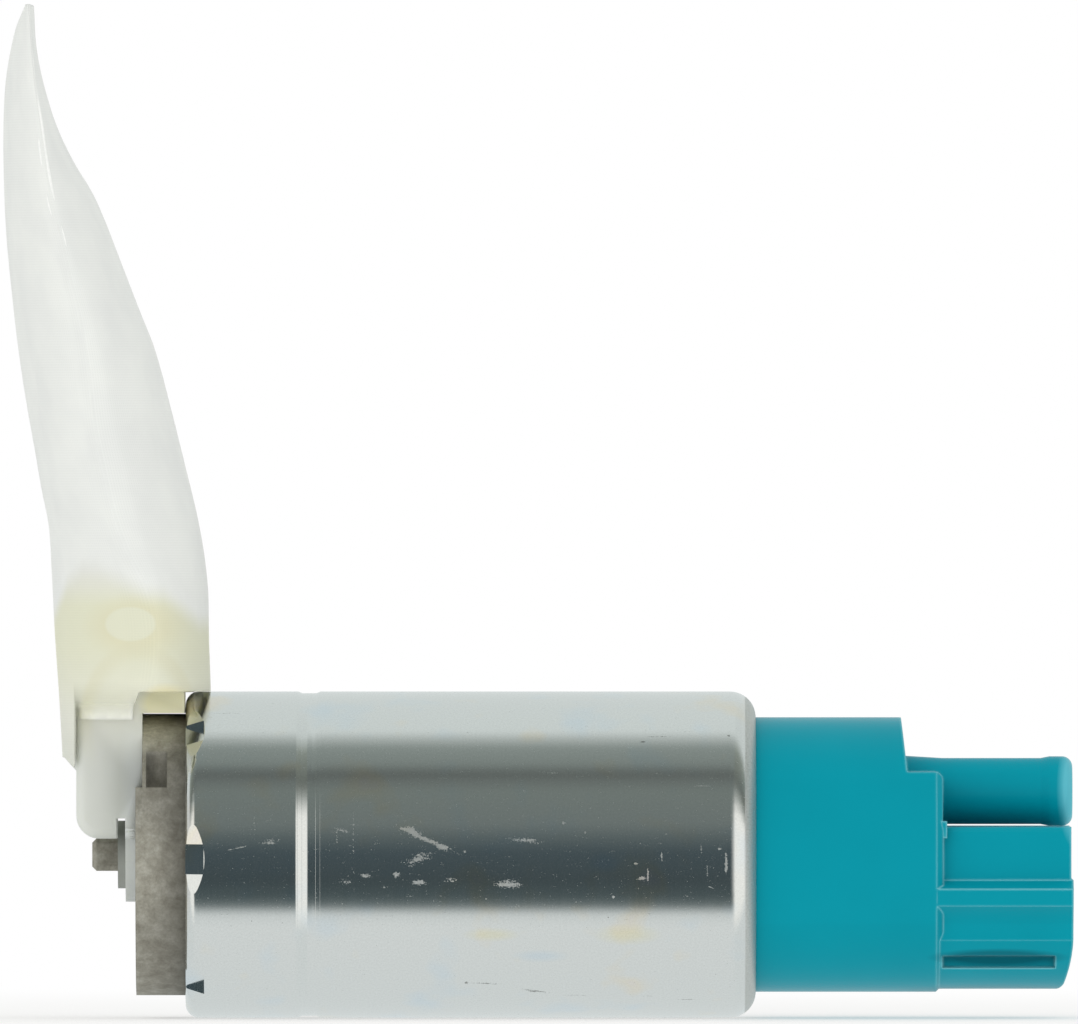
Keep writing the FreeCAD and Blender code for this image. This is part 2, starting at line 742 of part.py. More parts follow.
def magnet_clip(middle_angle):
    """Sheet-steel channel that spreads the two magnets apart."""
    x0 = CORE_IN_X - MAGNET_OVERHANG + CLIP_SHORTER
    x1 = CORE_OUT_X + MAGNET_OVERHANG - CLIP_SHORTER
    back = turned(
        [(x0, SLIP_R - CLIP_THICKNESS), (x0, SLIP_R), (x1, SLIP_R), (x1, SLIP_R - CLIP_THICKNESS)],
        2 * CLIP_HALF_ANGLE,
    )
    back.rotate(AXIS_POINT, AXIS_X, -CLIP_HALF_ANGLE)
    half = CLIP_THICKNESS / 2
    foot_r = SLIP_R - CLIP_THICKNESS / 2
    clip = back
    leg_angle = CLIP_HALF_ANGLE - CLIP_LEG_INSET_ANGLE
    for turn in (-leg_angle, leg_angle):
        leg = block(x0, x1, -half, half, foot_r - CLIP_LEG, foot_r)
        leg.rotate(AXIS_POINT, AXIS_X, turn)
        clip = clip.fuse(leg)
    clip.rotate(AXIS_POINT, AXIS_X, middle_angle)
    return clip.removeSplitter()


def rear_bearing():
    """Plain bush in the outlet cover's hub."""
    return tube(HUB_X, HUB_X + REAR_BEARING_LENGTH, BEARING_R, SHAFT_R + RUNNING_GAP)


# Outlet cover


def shroud_outline(grow=0.0):
    """Section of the connector shroud, with its side flats, ribs and grooves."""
    radius = CAP_R - SHROUD_RECESS
    rib_y = flatness(RIB_TOP_Z, CAP_R)
    rib_low_y = flatness(RIB_BOTTOM_Z, CAP_R)
    groove_mid = (RIB_BOTTOM_Z + GROOVE_BOTTOM_Z) / 2
    groove_y = flatness(groove_mid, CAP_R) - GROOVE_DEPTH
    low_y = flatness(GROOVE_BOTTOM_Z, radius)
    near = [
        (SHROUD_FLAT_Y, SHROUD_TOP_Z),
        (SHROUD_FLAT_Y, SHROUD_FLAT_END_Z),
        (rib_y, RIB_TOP_Z),
        (rib_low_y, RIB_BOTTOM_Z),
        ((groove_y, groove_mid), (low_y, GROOVE_BOTTOM_Z)),
    ]
    steps = [near[0], near[1], near[2], near[3], near[4]]
    steps.append(((0, -radius), (-low_y, GROOVE_BOTTOM_Z)))
    steps.append(((-groove_y, groove_mid), (-rib_low_y, RIB_BOTTOM_Z)))
    steps.append((-rib_y, RIB_TOP_Z))
    steps.append((-SHROUD_FLAT_Y, SHROUD_FLAT_END_Z))
    steps.append((-SHROUD_FLAT_Y, SHROUD_TOP_Z))
    return steps


def shroud_end_trim():
    """What is left of the shroud beside its rounded lower end and above its set-back flats."""
    end_x = NIPPLE_END_X
    corner_z = -CAP_R + SHROUD_RECESS

    def corner_point(degrees):
        angle = math.radians(degrees)
        return (
            end_x - SHROUD_END_REACH * (1 - math.cos(angle)),
            corner_z + SHROUD_END_RISE * (1 - math.sin(angle)),
        )

    return along_y(
        [
            (CAP_END_X - 1, HOUSING_R),
            (CAP_END_X - 1, -HOUSING_R),
            (end_x - SHROUD_END_REACH, -HOUSING_R),
            corner_point(90.0),
            (corner_point(75.0), corner_point(60.0)),
            (corner_point(30.0), corner_point(0.0)),
            (end_x, SHROUD_FLAT_END_Z),
            (end_x - SHROUD_FLAT_SETBACK, SHROUD_FLAT_END_Z + SHROUD_FLAT_SETBACK),
            (end_x - SHROUD_FLAT_SETBACK, HOUSING_R),
        ],
        HOUSING_R,
    )


def connector_shroud():
    """Solid of the connector shroud, before its socket is cut."""
    shroud = along_x(shroud_outline(), CAP_END_X - 1, NIPPLE_END_X)
    top_edges = []
    for edge in shroud.Edges:
        centre = edge.CenterOfMass
        if abs(centre.z - SHROUD_TOP_Z) < 1e-6 and abs(abs(centre.y) - SHROUD_FLAT_Y) < 1e-6:
            top_edges.append(edge)
    shroud = shroud.makeFillet(SHROUD_TOP_R, top_edges)
    hose_r = NIPPLE_R + HOSE_ROOM
    trough = rod(CAP_END_X, NIPPLE_END_X + 1, hose_r, 0, NIPPLE_Z)
    return shroud.common(shroud_end_trim()).cut(trough)


def connector_socket():
    """Space inside the shroud that takes the plug."""
    top_z = NIPPLE_Z - NIPPLE_R - HOSE_ROOM - SHROUD_WALL
    inner_r = CAP_R - SHROUD_RECESS - SHROUD_WALL
    end_x = NIPPLE_END_X + 1
    half = SOCKET_HALF_WIDTH
    wide = block(SOCKET_FLOOR_X, end_x, -half, half, -inner_r, top_z)
    floor_z = LATCH_SLOT_TOP_Z - LATCH_SLOT_HEIGHT
    low = block(SOCKET_FLOOR_X, end_x, -HOUSING_R, HOUSING_R, -HOUSING_R, floor_z)
    return wide.common(rod(SOCKET_FLOOR_X, end_x, inner_r)).cut(low)


def latch_slot():
    """Shallow slot low on the side of the shroud."""
    middle_z = LATCH_SLOT_TOP_Z - LATCH_SLOT_HEIGHT / 2
    wall_y = flatness(middle_z, CAP_R - SHROUD_RECESS)
    return block(
        CAP_END_X,
        CAP_END_X + LATCH_SLOT_LENGTH,
        -HOUSING_R,
        -wall_y + LATCH_SLOT_DEPTH,
        LATCH_SLOT_TOP_Z - LATCH_SLOT_HEIGHT,
        LATCH_SLOT_TOP_Z,
    )


def cap_body():
    """Round cap with the skirt inside the tube and the step at its top."""
    roll_x = TUBE_OUT_X - OUTLET_ROLL_R
    shoulder = OUTLET_ROLL_R - HOUSING_WALL - FIT_GAP * 3
    diagonal = shoulder * math.sqrt(0.5)
    skirt_x = TUBE_OUT_X - COVER_IN_TUBE
    body = turned(
        [
            (skirt_x, 0),
            (skirt_x, CAP_R + shoulder),
            (roll_x, CAP_R + shoulder),
            ((roll_x + diagonal, CAP_R + diagonal), (roll_x + shoulder, CAP_R)),
            (CAP_END_X - CAP_EDGE_R, CAP_R),
            (CAP_END_X, CAP_R - CAP_EDGE_R),
            (CAP_END_X, 0),
        ]
    )
    step_x = CAP_END_X - CAP_STEP_FROM_END
    corner = CAP_CORNER_R
    bend = corner * (1 - math.sqrt(0.5))
    step = along_y(
        [
            (step_x - CAP_STEP_SLANT, CAP_R + 1),
            (step_x, CAP_STEP_Z),
            (CAP_END_X - corner, CAP_STEP_Z),
            ((CAP_END_X - bend, CAP_STEP_Z - bend), (CAP_END_X, CAP_STEP_Z - corner)),
            (CAP_END_X + 1, CAP_STEP_Z - corner),
            (CAP_END_X + 1, CAP_R + 1),
        ],
        HOUSING_R,
    )
    return body.cut(step)


def nipple():
    """Hose nipple with a root that tapers over the cap's step, a low bead and a rounded end."""
    x0 = CAP_END_X - CAP_STEP_FROM_END - CAP_STEP_SLANT
    root_r = NIPPLE_R + NIPPLE_ROOT_RISE
    bead_x = NIPPLE_END_X - NIPPLE_BEAD_LENGTH
    bead_r = NIPPLE_R + NIPPLE_BEAD_HEIGHT
    end = NIPPLE_END_R
    bend = end * (1 - math.sqrt(0.5))
    shape = turned(
        [
            (x0, 0),
            (x0, root_r),
            (CAP_END_X, NIPPLE_R),
            (bead_x, NIPPLE_R),
            (bead_x + NIPPLE_BEAD_SLOPE, bead_r),
            (NIPPLE_END_X - end, bead_r),
            ((NIPPLE_END_X - bend, bead_r - bend), (NIPPLE_END_X, bead_r - end)),
            (NIPPLE_END_X, 0),
        ]
    )
    shape.translate(V(0, 0, NIPPLE_Z))
    return shape


def brush_box(side, grow):
    """Rectangular guide of one brush, its hollow when grow is the running gap."""
    half_y = BRUSH_WIDTH / 2 + grow
    half_z = BRUSH_HEIGHT / 2 + grow
    middle = side * BRUSH_Y
    return block(HUB_X, CAVITY_END_X + 1, middle - half_y, middle + half_y, -half_z, half_z)


def outlet_cover():
    """Moulded cover: cap, nipple, connector shroud and the holders of brushes and valves."""
    shell = cap_body().fuse([nipple(), connector_shroud()])
    inner_r = CAP_R - COVER_WALL
    skirt_x = TUBE_OUT_X - COVER_IN_TUBE
    shell = shell.cut(rod(skirt_x - 1, CAVITY_END_X, inner_r))
    inside = rod(HUB_X, CAVITY_END_X + 1, inner_r + 1)
    holders = [
        rod(HUB_X, CAVITY_END_X + 1, HUB_R),
        rod(HUB_X, CAVITY_END_X + 1, CHECK_BORE_R + SHROUD_WALL, 0, NIPPLE_Z),
        rod(HUB_X, CAVITY_END_X + 1, RELIEF_BORE_R + RELIEF_WALL, RELIEF_Y, RELIEF_Z),
    ]
    web_x = HUB_X + COVER_WEB_SETBACK
    half = COVER_WEB_HALF
    web_side = block(web_x, CAVITY_END_X + 1, 0, inner_r + 1, -half, half)
    holders.append(block(web_x, CAVITY_END_X + 1, -half, half, -inner_r - 1, -HUB_R + 1))
    holders += [web_side, mirrored(web_side)]
    for side in (-1, 1):
        holders.append(brush_box(side, BRUSH_GAP + BRUSH_BOX_WALL))
    shell = shell.fuse([holder.common(inside) for holder in holders])

    box_end = HUB_X + BRUSH_BOX_DEPTH
    cuts = [
        rod(HUB_X - 1, HUB_X + REAR_BEARING_LENGTH, BEARING_R + FIT_GAP),
        rod(HUB_X, HUB_X + REAR_BEARING_LENGTH + SHAFT_ROOM_LENGTH, SHAFT_R + SHIFT_GAP),
        rod(HUB_X - 1, VALVE_END_X, CHECK_BORE_R, 0, NIPPLE_Z),
        rod(VALVE_END_X - 1, NIPPLE_END_X + 1, NIPPLE_BORE_R, 0, NIPPLE_Z),
        rod(HUB_X - 1, RELIEF_END_X, RELIEF_BORE_R, RELIEF_Y, RELIEF_Z),
        rod(RELIEF_END_X - 1, CAP_END_X + 1, RELIEF_EXIT_R, RELIEF_Y, RELIEF_Z),
        connector_socket(),
        latch_slot(),
        mirrored(latch_slot()),
    ]
    keep = block(HUB_X - 1, box_end, -HOUSING_R, HOUSING_R, -HOUSING_R, HOUSING_R)
    for side in (-1, 1):
        cuts.append(brush_box(side, BRUSH_GAP).common(keep))
        cuts.append(terminal(side, FIT_GAP))
    groove_x = TUBE_OUT_X - SEAL_FROM_OUTLET
    half = SEAL_SECTION_R + FIT_GAP * 2
    floor_r = SLIP_R - SEAL_SQUEEZE - 2 * SEAL_SECTION_R
    cuts.append(tube(groove_x - half, groove_x + half, HOUSING_R, floor_r))
    shell = shell.cut(cuts)

    nub_y = flatness(NUB_Z, CAP_R) - CAP_EDGE_R
    nub = block(
        CAP_END_X - 1,
        CAP_END_X + NUB_LENGTH,
        -nub_y,
        -nub_y + NUB_WIDTH,
        NUB_Z - NUB_HEIGHT / 2,
        NUB_Z + NUB_HEIGHT / 2,
    )
    return shell.fuse(nub).removeSplitter()


def cover_seal():
    """O-ring between the outlet cover's skirt and the tube."""
    ring_r = SLIP_R - SEAL_SQUEEZE - SEAL_SECTION_R
    return ring(TUBE_OUT_X - SEAL_FROM_OUTLET, ring_r, SEAL_SECTION_R)


def terminal(side, grow=0.0):
    """Flat blade from the choke's lead to the socket, with a bevelled tip."""
    x0 = CAVITY_END_X - TERMINAL_TAIL
    x1 = NIPPLE_END_X - TERMINAL_END_RECESS
    half_y = TERMINAL_THICKNESS / 2 + grow
    half_z = TERMINAL_WIDTH / 2 + grow
    tip = TERMINAL_POINT
    top = TERMINAL_Z + half_z
    bottom = TERMINAL_Z - half_z
    steps = [
        (x0 - grow, bottom),
        (x0 - grow, top),
        (x1 - tip, top),
        (x1, top - tip),
        (x1, bottom + tip),
        (x1 - tip, bottom),
    ]
    return along_y(steps, half_y, side * TERMINAL_Y)


def choke(side):
    """Ferrite rod with its coil and the lead that meets the terminal."""
    tail_x = CAVITY_END_X - TERMINAL_TAIL
    x1 = tail_x - CHOKE_LEAD_LENGTH
    x0 = x1 - CHOKE_LENGTH
    body = rod(x0, x1, CHOKE_R, side * TERMINAL_Y, CHOKE_Z)
    pitch = CHOKE_LENGTH / CHOKE_TURNS
    grooves = []
    for index in range(1, CHOKE_TURNS):
        x = x0 + index * pitch
        grooves.append(
            tube(
                x - CHOKE_GROOVE,
                x + CHOKE_GROOVE,
                CHOKE_R + 1,
                CHOKE_R - CHOKE_GROOVE,
                side * TERMINAL_Y,
                CHOKE_Z,
            )
        )
    lead = rod(x0 - CHOKE_LEAD_STUB, tail_x, CHOKE_LEAD_R, side * TERMINAL_Y, CHOKE_Z)
    return body.cut(grooves).fuse(lead).removeSplitter()


def brush(side):
    """Carbon brush that is pressed against the commutator's face."""
    x0 = COMMUTATOR_X + BRUSH_FACE_GAP
    half_y = BRUSH_WIDTH / 2
    half_z = BRUSH_HEIGHT / 2
    middle = side * BRUSH_Y
    body = block(x0, x0 + BRUSH_LENGTH, middle - half_y, middle + half_y, -half_z, half_z)
    long_edges = [edge for edge in body.Edges if abs(edge.Length - BRUSH_LENGTH) < 1e-6]
    return body.makeChamfer(BRUSH_CHAMFER, long_edges)


def brush_spring(side):
    """Coil spring behind one brush."""
    x0 = COMMUTATOR_X + BRUSH_FACE_GAP + BRUSH_LENGTH + FIT_GAP
    x1 = HUB_X + BRUSH_BOX_DEPTH - FIT_GAP
    return spring(x0, x1, BRUSH_SPRING_R, BRUSH_WIRE_R, BRUSH_SPRING_TURNS, side * BRUSH_Y)


# Valves


def check_valve_seat():
    """Ring pressed into the nipple's bore, with a bevelled seat."""
    x1 = CHECK_SEAT_X + CHECK_SEAT_LENGTH
    steps = [
        (CHECK_SEAT_X, CHECK_SEAT_HOLE_R),
        (CHECK_SEAT_X, CHECK_BORE_R - FIT_GAP / 2),
        (x1, CHECK_BORE_R - FIT_GAP / 2),
        (x1, CHECK_SEAT_HOLE_R + CHECK_SEAT_BEVEL),
        (x1 - CHECK_SEAT_BEVEL, CHECK_SEAT_HOLE_R),
    ]
    shape = turned(steps)
    shape.translate(V(0, 0, NIPPLE_Z))
    return shape


def check_valve_piston():
    """Poppet with a flat head, a fluted guide flange and a stem inside the spring."""
    x0 = CHECK_SEAT_X + CHECK_SEAT_LENGTH + CHECK_FACE_GAP
    x1 = x0 + CHECK_HEAD_LENGTH
    x2 = x1 + CHECK_FLANGE_LENGTH
    x3 = x2 + CHECK_STEM_LENGTH
    flange_r = CHECK_BORE_R - CHECK_FLANGE_GAP
    shape = turned(
        [
            (x0, 0),
            (x0, CHECK_HEAD_R),
            (x1, CHECK_HEAD_R),
            (x1, flange_r),
            (x2, flange_r),
            (x2, CHECK_STEM_R),
            (x3 - CHECK_STEM_BEVEL, CHECK_STEM_R),
            (x3, CHECK_STEM_R - CHECK_STEM_BEVEL),
            (x3, 0),
        ]
    )
    flute = rod(x1 - CHECK_FLUTE_RUN, x2 + CHECK_FLUTE_RUN, CHECK_FLUTE_R, 0, flange_r)
    shape = shape.cut(around(flute, 4, 45.0))
    shape.translate(V(0, 0, NIPPLE_Z))
    return shape


def check_valve_spring():
    """Spring between the poppet's flange and the shoulder in the bore."""
    x0 = CHECK_SEAT_X + CHECK_SEAT_LENGTH + CHECK_FACE_GAP
    x0 += CHECK_HEAD_LENGTH + CHECK_FLANGE_LENGTH + FIT_GAP
    coil_r = CHECK_BORE_R - CHECK_FLANGE_GAP - CHECK_WIRE_R
    turns = CHECK_SPRING_TURNS
    return spring(x0, VALVE_END_X - FIT_GAP, coil_r, CHECK_WIRE_R, turns, 0, NIPPLE_Z)


def relief_ball_x():
    """Centre of the relief ball when it rests on the edge of its seat."""
    depth = math.sqrt(RELIEF_BALL_R**2 - RELIEF_SEAT_HOLE_R**2)
    return RELIEF_SEAT_X + RELIEF_SEAT_LENGTH + depth + FIT_GAP


def relief_valve_seat():
    """Ring pressed into the relief bore."""
    x1 = RELIEF_SEAT_X + RELIEF_SEAT_LENGTH
    outer = RELIEF_BORE_R - FIT_GAP / 2
    return tube(RELIEF_SEAT_X, x1, outer, RELIEF_SEAT_HOLE_R, RELIEF_Y, RELIEF_Z)


def relief_valve_ball():
    """Steel ball that opens when the pressure is too high."""
    return Part.makeSphere(RELIEF_BALL_R, V(relief_ball_x(), RELIEF_Y, RELIEF_Z))


def relief_valve_spring():
    """Spring between the ball and the end of the relief bore."""
    lean = math.sqrt(RELIEF_BALL_R**2 - (RELIEF_SPRING_R - RELIEF_WIRE_R) ** 2)
    x0 = relief_ball_x() + lean + FIT_GAP
    x1 = RELIEF_END_X - FIT_GAP
    turns = RELIEF_SPRING_TURNS
    return spring(x0, x1, RELIEF_SPRING_R, RELIEF_WIRE_R, turns, RELIEF_Y, RELIEF_Z)


# Strainer


def bag_section(station, inset):
    """Pillow-shaped section: two full curves that meet at the side seams."""
    z, outer_x, inner_x, seam_x, half_width = station
    side = half_width - 2 * inset
    edges = []
    for face_x, first in ((outer_x + inset, -1), (inner_x - inset, 1)):
        pull = (face_x - seam_x / 4) / 0.75
        curve = Part.BezierCurve()
        curve.setPoles(
            [
                V(seam_x, first * side, z),
                V(pull, first * side * BAG_FULLNESS, z),
                V(pull, -first * side * BAG_FULLNESS, z),
                V(seam_x, -first * side, z),
            ]
        )
        edges.append(curve.toShape())
    return Part.Wire(edges)


def bag_volume(inset, stations):
    """Solid inside the bag's skin, at a given depth."""
    return Part.makeLoft([bag_section(station, inset) for station in stations], True, False)


def bag_floor():
    """Side outline of the space below the bag: it steps over the cover and the tube."""
    tail_x = FACE_X - HOOD_DEPTH
    step_x = FACE_X - SHIFT_GAP
    tube_z = HOUSING_R + BAG_OVER_TUBE
    return [
        (-CUT_REACH, -HOUSING_R),
        (-CUT_REACH, BAG_TAIL_Z + BAG_TAIL_CORNER),
        (tail_x - BAG_TAIL_CORNER, BAG_TAIL_Z + BAG_TAIL_CORNER),
        (tail_x, BAG_TAIL_Z),
        (tail_x, BAG_BOTTOM_Z),
        (step_x, BAG_BOTTOM_Z),
        (step_x, tube_z),
        (0, tube_z),
        (0, -HOUSING_R),
    ]


def strainer_bag():
    """Woven bag: a thin skin, welded shut at the sides and the top, open round the base."""
    skin = bag_volume(0.0, BAG_STATIONS).cut(bag_volume(BAG_WALL, BAG_STATIONS[:-1]))
    return skin.cut(along_y(bag_floor(), CUT_REACH))


def hood_outline(inset, underside):
    """Side outline of the duct from the inlet port up into the bag, closed by its underside."""
    left = FACE_X - HOOD_DEPTH + inset
    bottom = HOOD_BOTTOM_Z + inset
    corner = HOOD_CORNER_R - inset
    bend = corner * (1 - math.sqrt(0.5))
    top = HOOD_TOP_Z - inset
    middle = (left + HOOD_BACK_X - inset) / 2
    right_end = (HOOD_BACK_X - inset, HOUSING_R + SADDLE_GAP + inset)
    outer = [
        (FACE_X - inset, bottom),
        (left + corner, bottom),
        ((left + bend, bottom + bend), (left, bottom + corner)),
        (left, HOOD_SHOULDER_Z),
        bowed((left, HOOD_SHOULDER_Z), (middle, top), HOOD_LEFT_BOW),
        bowed((middle, top), right_end, HOOD_RIGHT_BOW),
    ]
    return outer + underside


def saddle():
    """Room for the pump under the duct: the cover's drum and the end of the tube."""
    drum = rod(FACE_X + FACE_RELIEF, 0, DRUM_R + SADDLE_GAP)
    steel = rod(TUBE_IN_X - SADDLE_GAP, 0, HOUSING_R + SADDLE_GAP)
    return [drum, steel]


def duct_hood():
    """Solid of the duct, with its outer edges rounded, seated on the cover and the tube."""
    underside = [
        (HOOD_BACK_X, FACE_RELIEF_FROM_Z),
        (FACE_X + FACE_RELIEF, FACE_RELIEF_FROM_Z),
        (FACE_X, FACE_RELIEF_FROM_Z),
    ]
    hood = along_y(hood_outline(0.0, underside), HOOD_HALF_WIDTH)
    outer_x = FACE_X - HOOD_DEPTH + HOOD_CORNER_R + 0.01
    edges = []
    for edge in hood.Edges:
        box = edge.BoundBox
        flat_side = box.YMax - box.YMin < 1e-6
        if flat_side and box.XMax < outer_x and box.ZMax < HOOD_SHOULDER_Z + 0.01:
            edges.append(edge)
    return hood.makeFillet(HOOD_EDGE_R, edges).cut(saddle())


def duct_hollow():
    """Way of the fuel through the duct: from the throat down to the port's mouth."""
    over_cover = DRUM_R + SADDLE_GAP + HOOD_WALL
    over_tube = HOUSING_R + SADDLE_GAP + HOOD_WALL
    lip_x = TUBE_IN_X - SADDLE_GAP - HOOD_WALL
    back = FACE_X - HOOD_WALL
    underside = [(lip_x, over_tube), (lip_x, over_cover), (back, over_cover)]
    hollow = along_y(hood_outline(HOOD_WALL, underside), HOOD_HALF_WIDTH - HOOD_WALL)
    hollow = hollow.cut(rod(PLATE_X - CUT_REACH, FACE_X, WASHER_TOOL_R + HOOD_WALL))
    mouth = along_y(
        [
            (FACE_X - HOOD_WALL - 1, PORT_INNER_R - 1),
            (FACE_X + 1, PORT_INNER_R - 1),
            (FACE_X + 1, PORT_OUTER_R + 1),
            (FACE_X - HOOD_WALL - 1, PORT_OUTER_R + 1),
        ],
        PORT_OUTER_R * math.sin(math.radians(PORT_HALF_ANGLE)) + 1,
    )
    top = block(
        FACE_X - HOOD_DEPTH + 2 * HOOD_WALL,
        HOOD_BACK_X - 3 * HOOD_WALL,
        -HOOD_HALF_WIDTH + 2 * HOOD_WALL,
        HOOD_HALF_WIDTH - 2 * HOOD_WALL,
        HOOD_SHOULDER_Z + HOOD_WALL,
        HOOD_TOP_Z + 1,
    )
    return [hollow, mouth, top]


def throat():
    """Frame inside the bag's lower end: a floor, a wall all round and a tail down the outside."""
    inset = BAG_WALL + SHIFT_GAP
    stations = BAG_STATIONS[:4]
    floor_z = BAG_BOTTOM_Z + THROAT_WALL
    step_x = FACE_X - SHIFT_GAP - THROAT_WALL
    tube_z = HOUSING_R + BAG_OVER_TUBE + THROAT_WALL
    inner_floor = along_y(
        [
            (-CUT_REACH, 0),
            (-CUT_REACH, floor_z),
            (step_x, floor_z),
            (step_x, tube_z),
            (0, tube_z),
            (0, 0),
        ],
        CUT_REACH,
    )
    inner = bag_volume(inset + THROAT_WALL, stations).cut(inner_floor)
    above = block(-CUT_REACH, 0, -CUT_REACH, CUT_REACH, THROAT_TOP_Z, CUT_REACH)
    return bag_volume(inset, stations).cut([along_y(bag_floor(), CUT_REACH), inner, above])


def throat_windows():
    """Openings of the frame: one with a bowed sill in each end, three in each broad face."""
    half = THROAT_WINDOW_WIDTH / 2
    low = THROAT_WINDOW_TOP_Z - THROAT_WINDOW_HEIGHT
    sill = low + THROAT_WINDOW_BOW
    end_window = along_y(
        [
            (THROAT_WINDOW_X - half, THROAT_WINDOW_TOP_Z),
            (THROAT_WINDOW_X - half, sill),
            ((THROAT_WINDOW_X, low), (THROAT_WINDOW_X + half, sill)),
            (THROAT_WINDOW_X + half, THROAT_WINDOW_TOP_Z),
        ],
        CUT_REACH,
    )
    windows = [end_window]
    half = FACE_WINDOW_WIDTH / 2
    z0 = HOOD_TOP_Z + FACE_WINDOW_SILL
    z1 = THROAT_TOP_Z - THROAT_RAIL
    for index in (-1, 0, 1):
        y = index * FACE_WINDOW_PITCH
        windows.append(block(-CUT_REACH, 0, y - half, y + half, z0, z1))
    return windows


def strainer_base():
    """Moulded base: mounting plate, duct hood and the frame inside the bag's lower end."""
    circle = rod(PLATE_X, FACE_X, PLATE_R)
    foot_y = flatness(FLARE_FOOT_Z, PLATE_R) - FIT_GAP
    flare = along_x(
        [
            (-foot_y, FLARE_FOOT_Z),
            (-HOOD_HALF_WIDTH, PLATE_R),
            (-HOOD_HALF_WIDTH, BAG_BOTTOM_Z),
            (HOOD_HALF_WIDTH, BAG_BOTTOM_Z),
            (HOOD_HALF_WIDTH, PLATE_R),
            (foot_y, FLARE_FOOT_Z),
        ],
        PLATE_X,
        FACE_X,
    )
    base = circle.fuse([flare, duct_hood(), throat()])
    tool_room = rod(PLATE_X - CUT_REACH, PLATE_X, WASHER_TOOL_R)
    washer_room = block(
        PLATE_X - WASHER_HEIGHT - SADDLE_GAP,
        PLATE_X,
        -CUT_REACH,
        CUT_REACH,
        HOOD_BOTTOM_Z - 1,
        WASHER_R + WASHER_ROOM,
    )
    pin_hole = along_x(pin_outline(PIN_HOLE_GAP), PLATE_X - 1, FACE_X + 1)
    cuts = [tool_room, washer_room, pin_hole] + duct_hollow() + throat_windows()
    return base.cut(cuts).removeSplitter()


def retaining_washer():
    """Push-on star washer: a shallow cup with teeth that bite on the pin."""
    x1 = PLATE_X
    x0 = x1 - WASHER_HEIGHT
    cup = turned(
        [
            (x1, 0),
            (x1, WASHER_R),
            (x0, WASHER_R),
            (x0, WASHER_R - WASHER_RIM),
            (x1 - WASHER_THICKNESS, WASHER_R - WASHER_RIM),
            (x1 - WASHER_THICKNESS, 0),
        ]
    )
    half = WASHER_SLOT_WIDTH / 2
    slot = block(x0 - 1, x1 + 1, -half, half, 0, WASHER_SLOT_END_R)
    hole = along_x(pin_outline(FIT_GAP / 2), x0 - 1, x1 + 1)
    return cup.cut(around(slot, WASHER_SLOT_COUNT, 180.0 / WASHER_SLOT_COUNT) + [hole])


def main():
    """Build every node."""
    os.makedirs("parts", exist_ok=True)
    save("housing_tube", housing_tube())
    save("inlet_cover", inlet_cover())
    save("thrust_pad", thrust_pad())
    save("impeller", impeller())
    save("pump_casing", pump_casing())
    save("front_bearing", front_bearing())
    save("shaft", shaft())
    save("armature_core", armature_core())
    save("armature_windings", armature_windings())
    save("commutator", commutator())
    save("magnet_upper", magnet(0.0))
    save("magnet_lower", magnet(180.0))
    save("rear_bearing", rear_bearing())
    save("outlet_cover", outlet_cover())
    save("cover_seal", cover_seal())
    for side, name in ((-1, "left"), (1, "right")):
        save("magnet_clip_" + name, magnet_clip(90.0 * -side))
        save("brush_" + name, brush(side))
        save("brush_spring_" + name, brush_spring(side))
        save("terminal_" + name, terminal(side))
        save("choke_" + name, choke(side))
    save("check_valve_seat", check_valve_seat())
    save("check_valve_piston", check_valve_piston())
    save("check_valve_spring", check_valve_spring())
    save("relief_valve_seat", relief_valve_seat())
    save("relief_valve_ball", relief_valve_ball())
    save("relief_valve_spring", relief_valve_spring())
    save("strainer_base", strainer_base())
    save("strainer_bag", strainer_bag())
    save("retaining_washer", retaining_washer())


main()
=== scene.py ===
"""Looks of an in-tank fuel pump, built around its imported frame.

Lengths are millimetres unless a name says otherwise, and MM turns them to Blender's metres.
The pump lies along X with its outlet at +X, and its strainer bag stands up along +Z.
"""

from __future__ import annotations

import logging
import math
from dataclasses import dataclass
from enum import Enum
from functools import cached_property
from typing import Any, Sequence

import bmesh
import bpy
import numpy as np
from bpy.types import ID, Material, Mesh, Node, NodeOutputs, NodeSocket, Object, World
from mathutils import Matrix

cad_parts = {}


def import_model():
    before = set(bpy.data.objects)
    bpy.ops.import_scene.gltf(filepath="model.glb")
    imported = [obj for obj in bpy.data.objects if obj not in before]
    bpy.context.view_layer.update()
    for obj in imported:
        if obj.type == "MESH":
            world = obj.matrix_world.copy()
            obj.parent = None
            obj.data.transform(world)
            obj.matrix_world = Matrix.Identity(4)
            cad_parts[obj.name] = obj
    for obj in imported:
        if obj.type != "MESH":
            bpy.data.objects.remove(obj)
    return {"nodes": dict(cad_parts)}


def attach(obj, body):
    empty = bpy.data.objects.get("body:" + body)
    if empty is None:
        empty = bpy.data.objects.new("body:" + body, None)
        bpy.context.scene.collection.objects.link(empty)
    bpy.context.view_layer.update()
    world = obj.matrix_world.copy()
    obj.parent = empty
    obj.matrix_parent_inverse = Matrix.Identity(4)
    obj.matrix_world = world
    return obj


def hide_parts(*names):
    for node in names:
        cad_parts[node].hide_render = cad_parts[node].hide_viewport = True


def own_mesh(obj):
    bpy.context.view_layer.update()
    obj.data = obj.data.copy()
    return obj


MM = 0.001
DEGREE = math.pi / 180
HOUSING_R = 19.0
# Half axis of a spot that is the same all the way through the pump.
FAR = 1000.0
# Scale of a wave texture whose bands are one unit apart.
BANDS = math.tau / 20

log = logging.getLogger("fuel_pump")

Value = Any
Point = tuple[float, float, float]
Line = tuple[tuple[float, float], ...]
Tones = tuple[tuple[float, str], ...]
CadNodes = dict[str, Object]


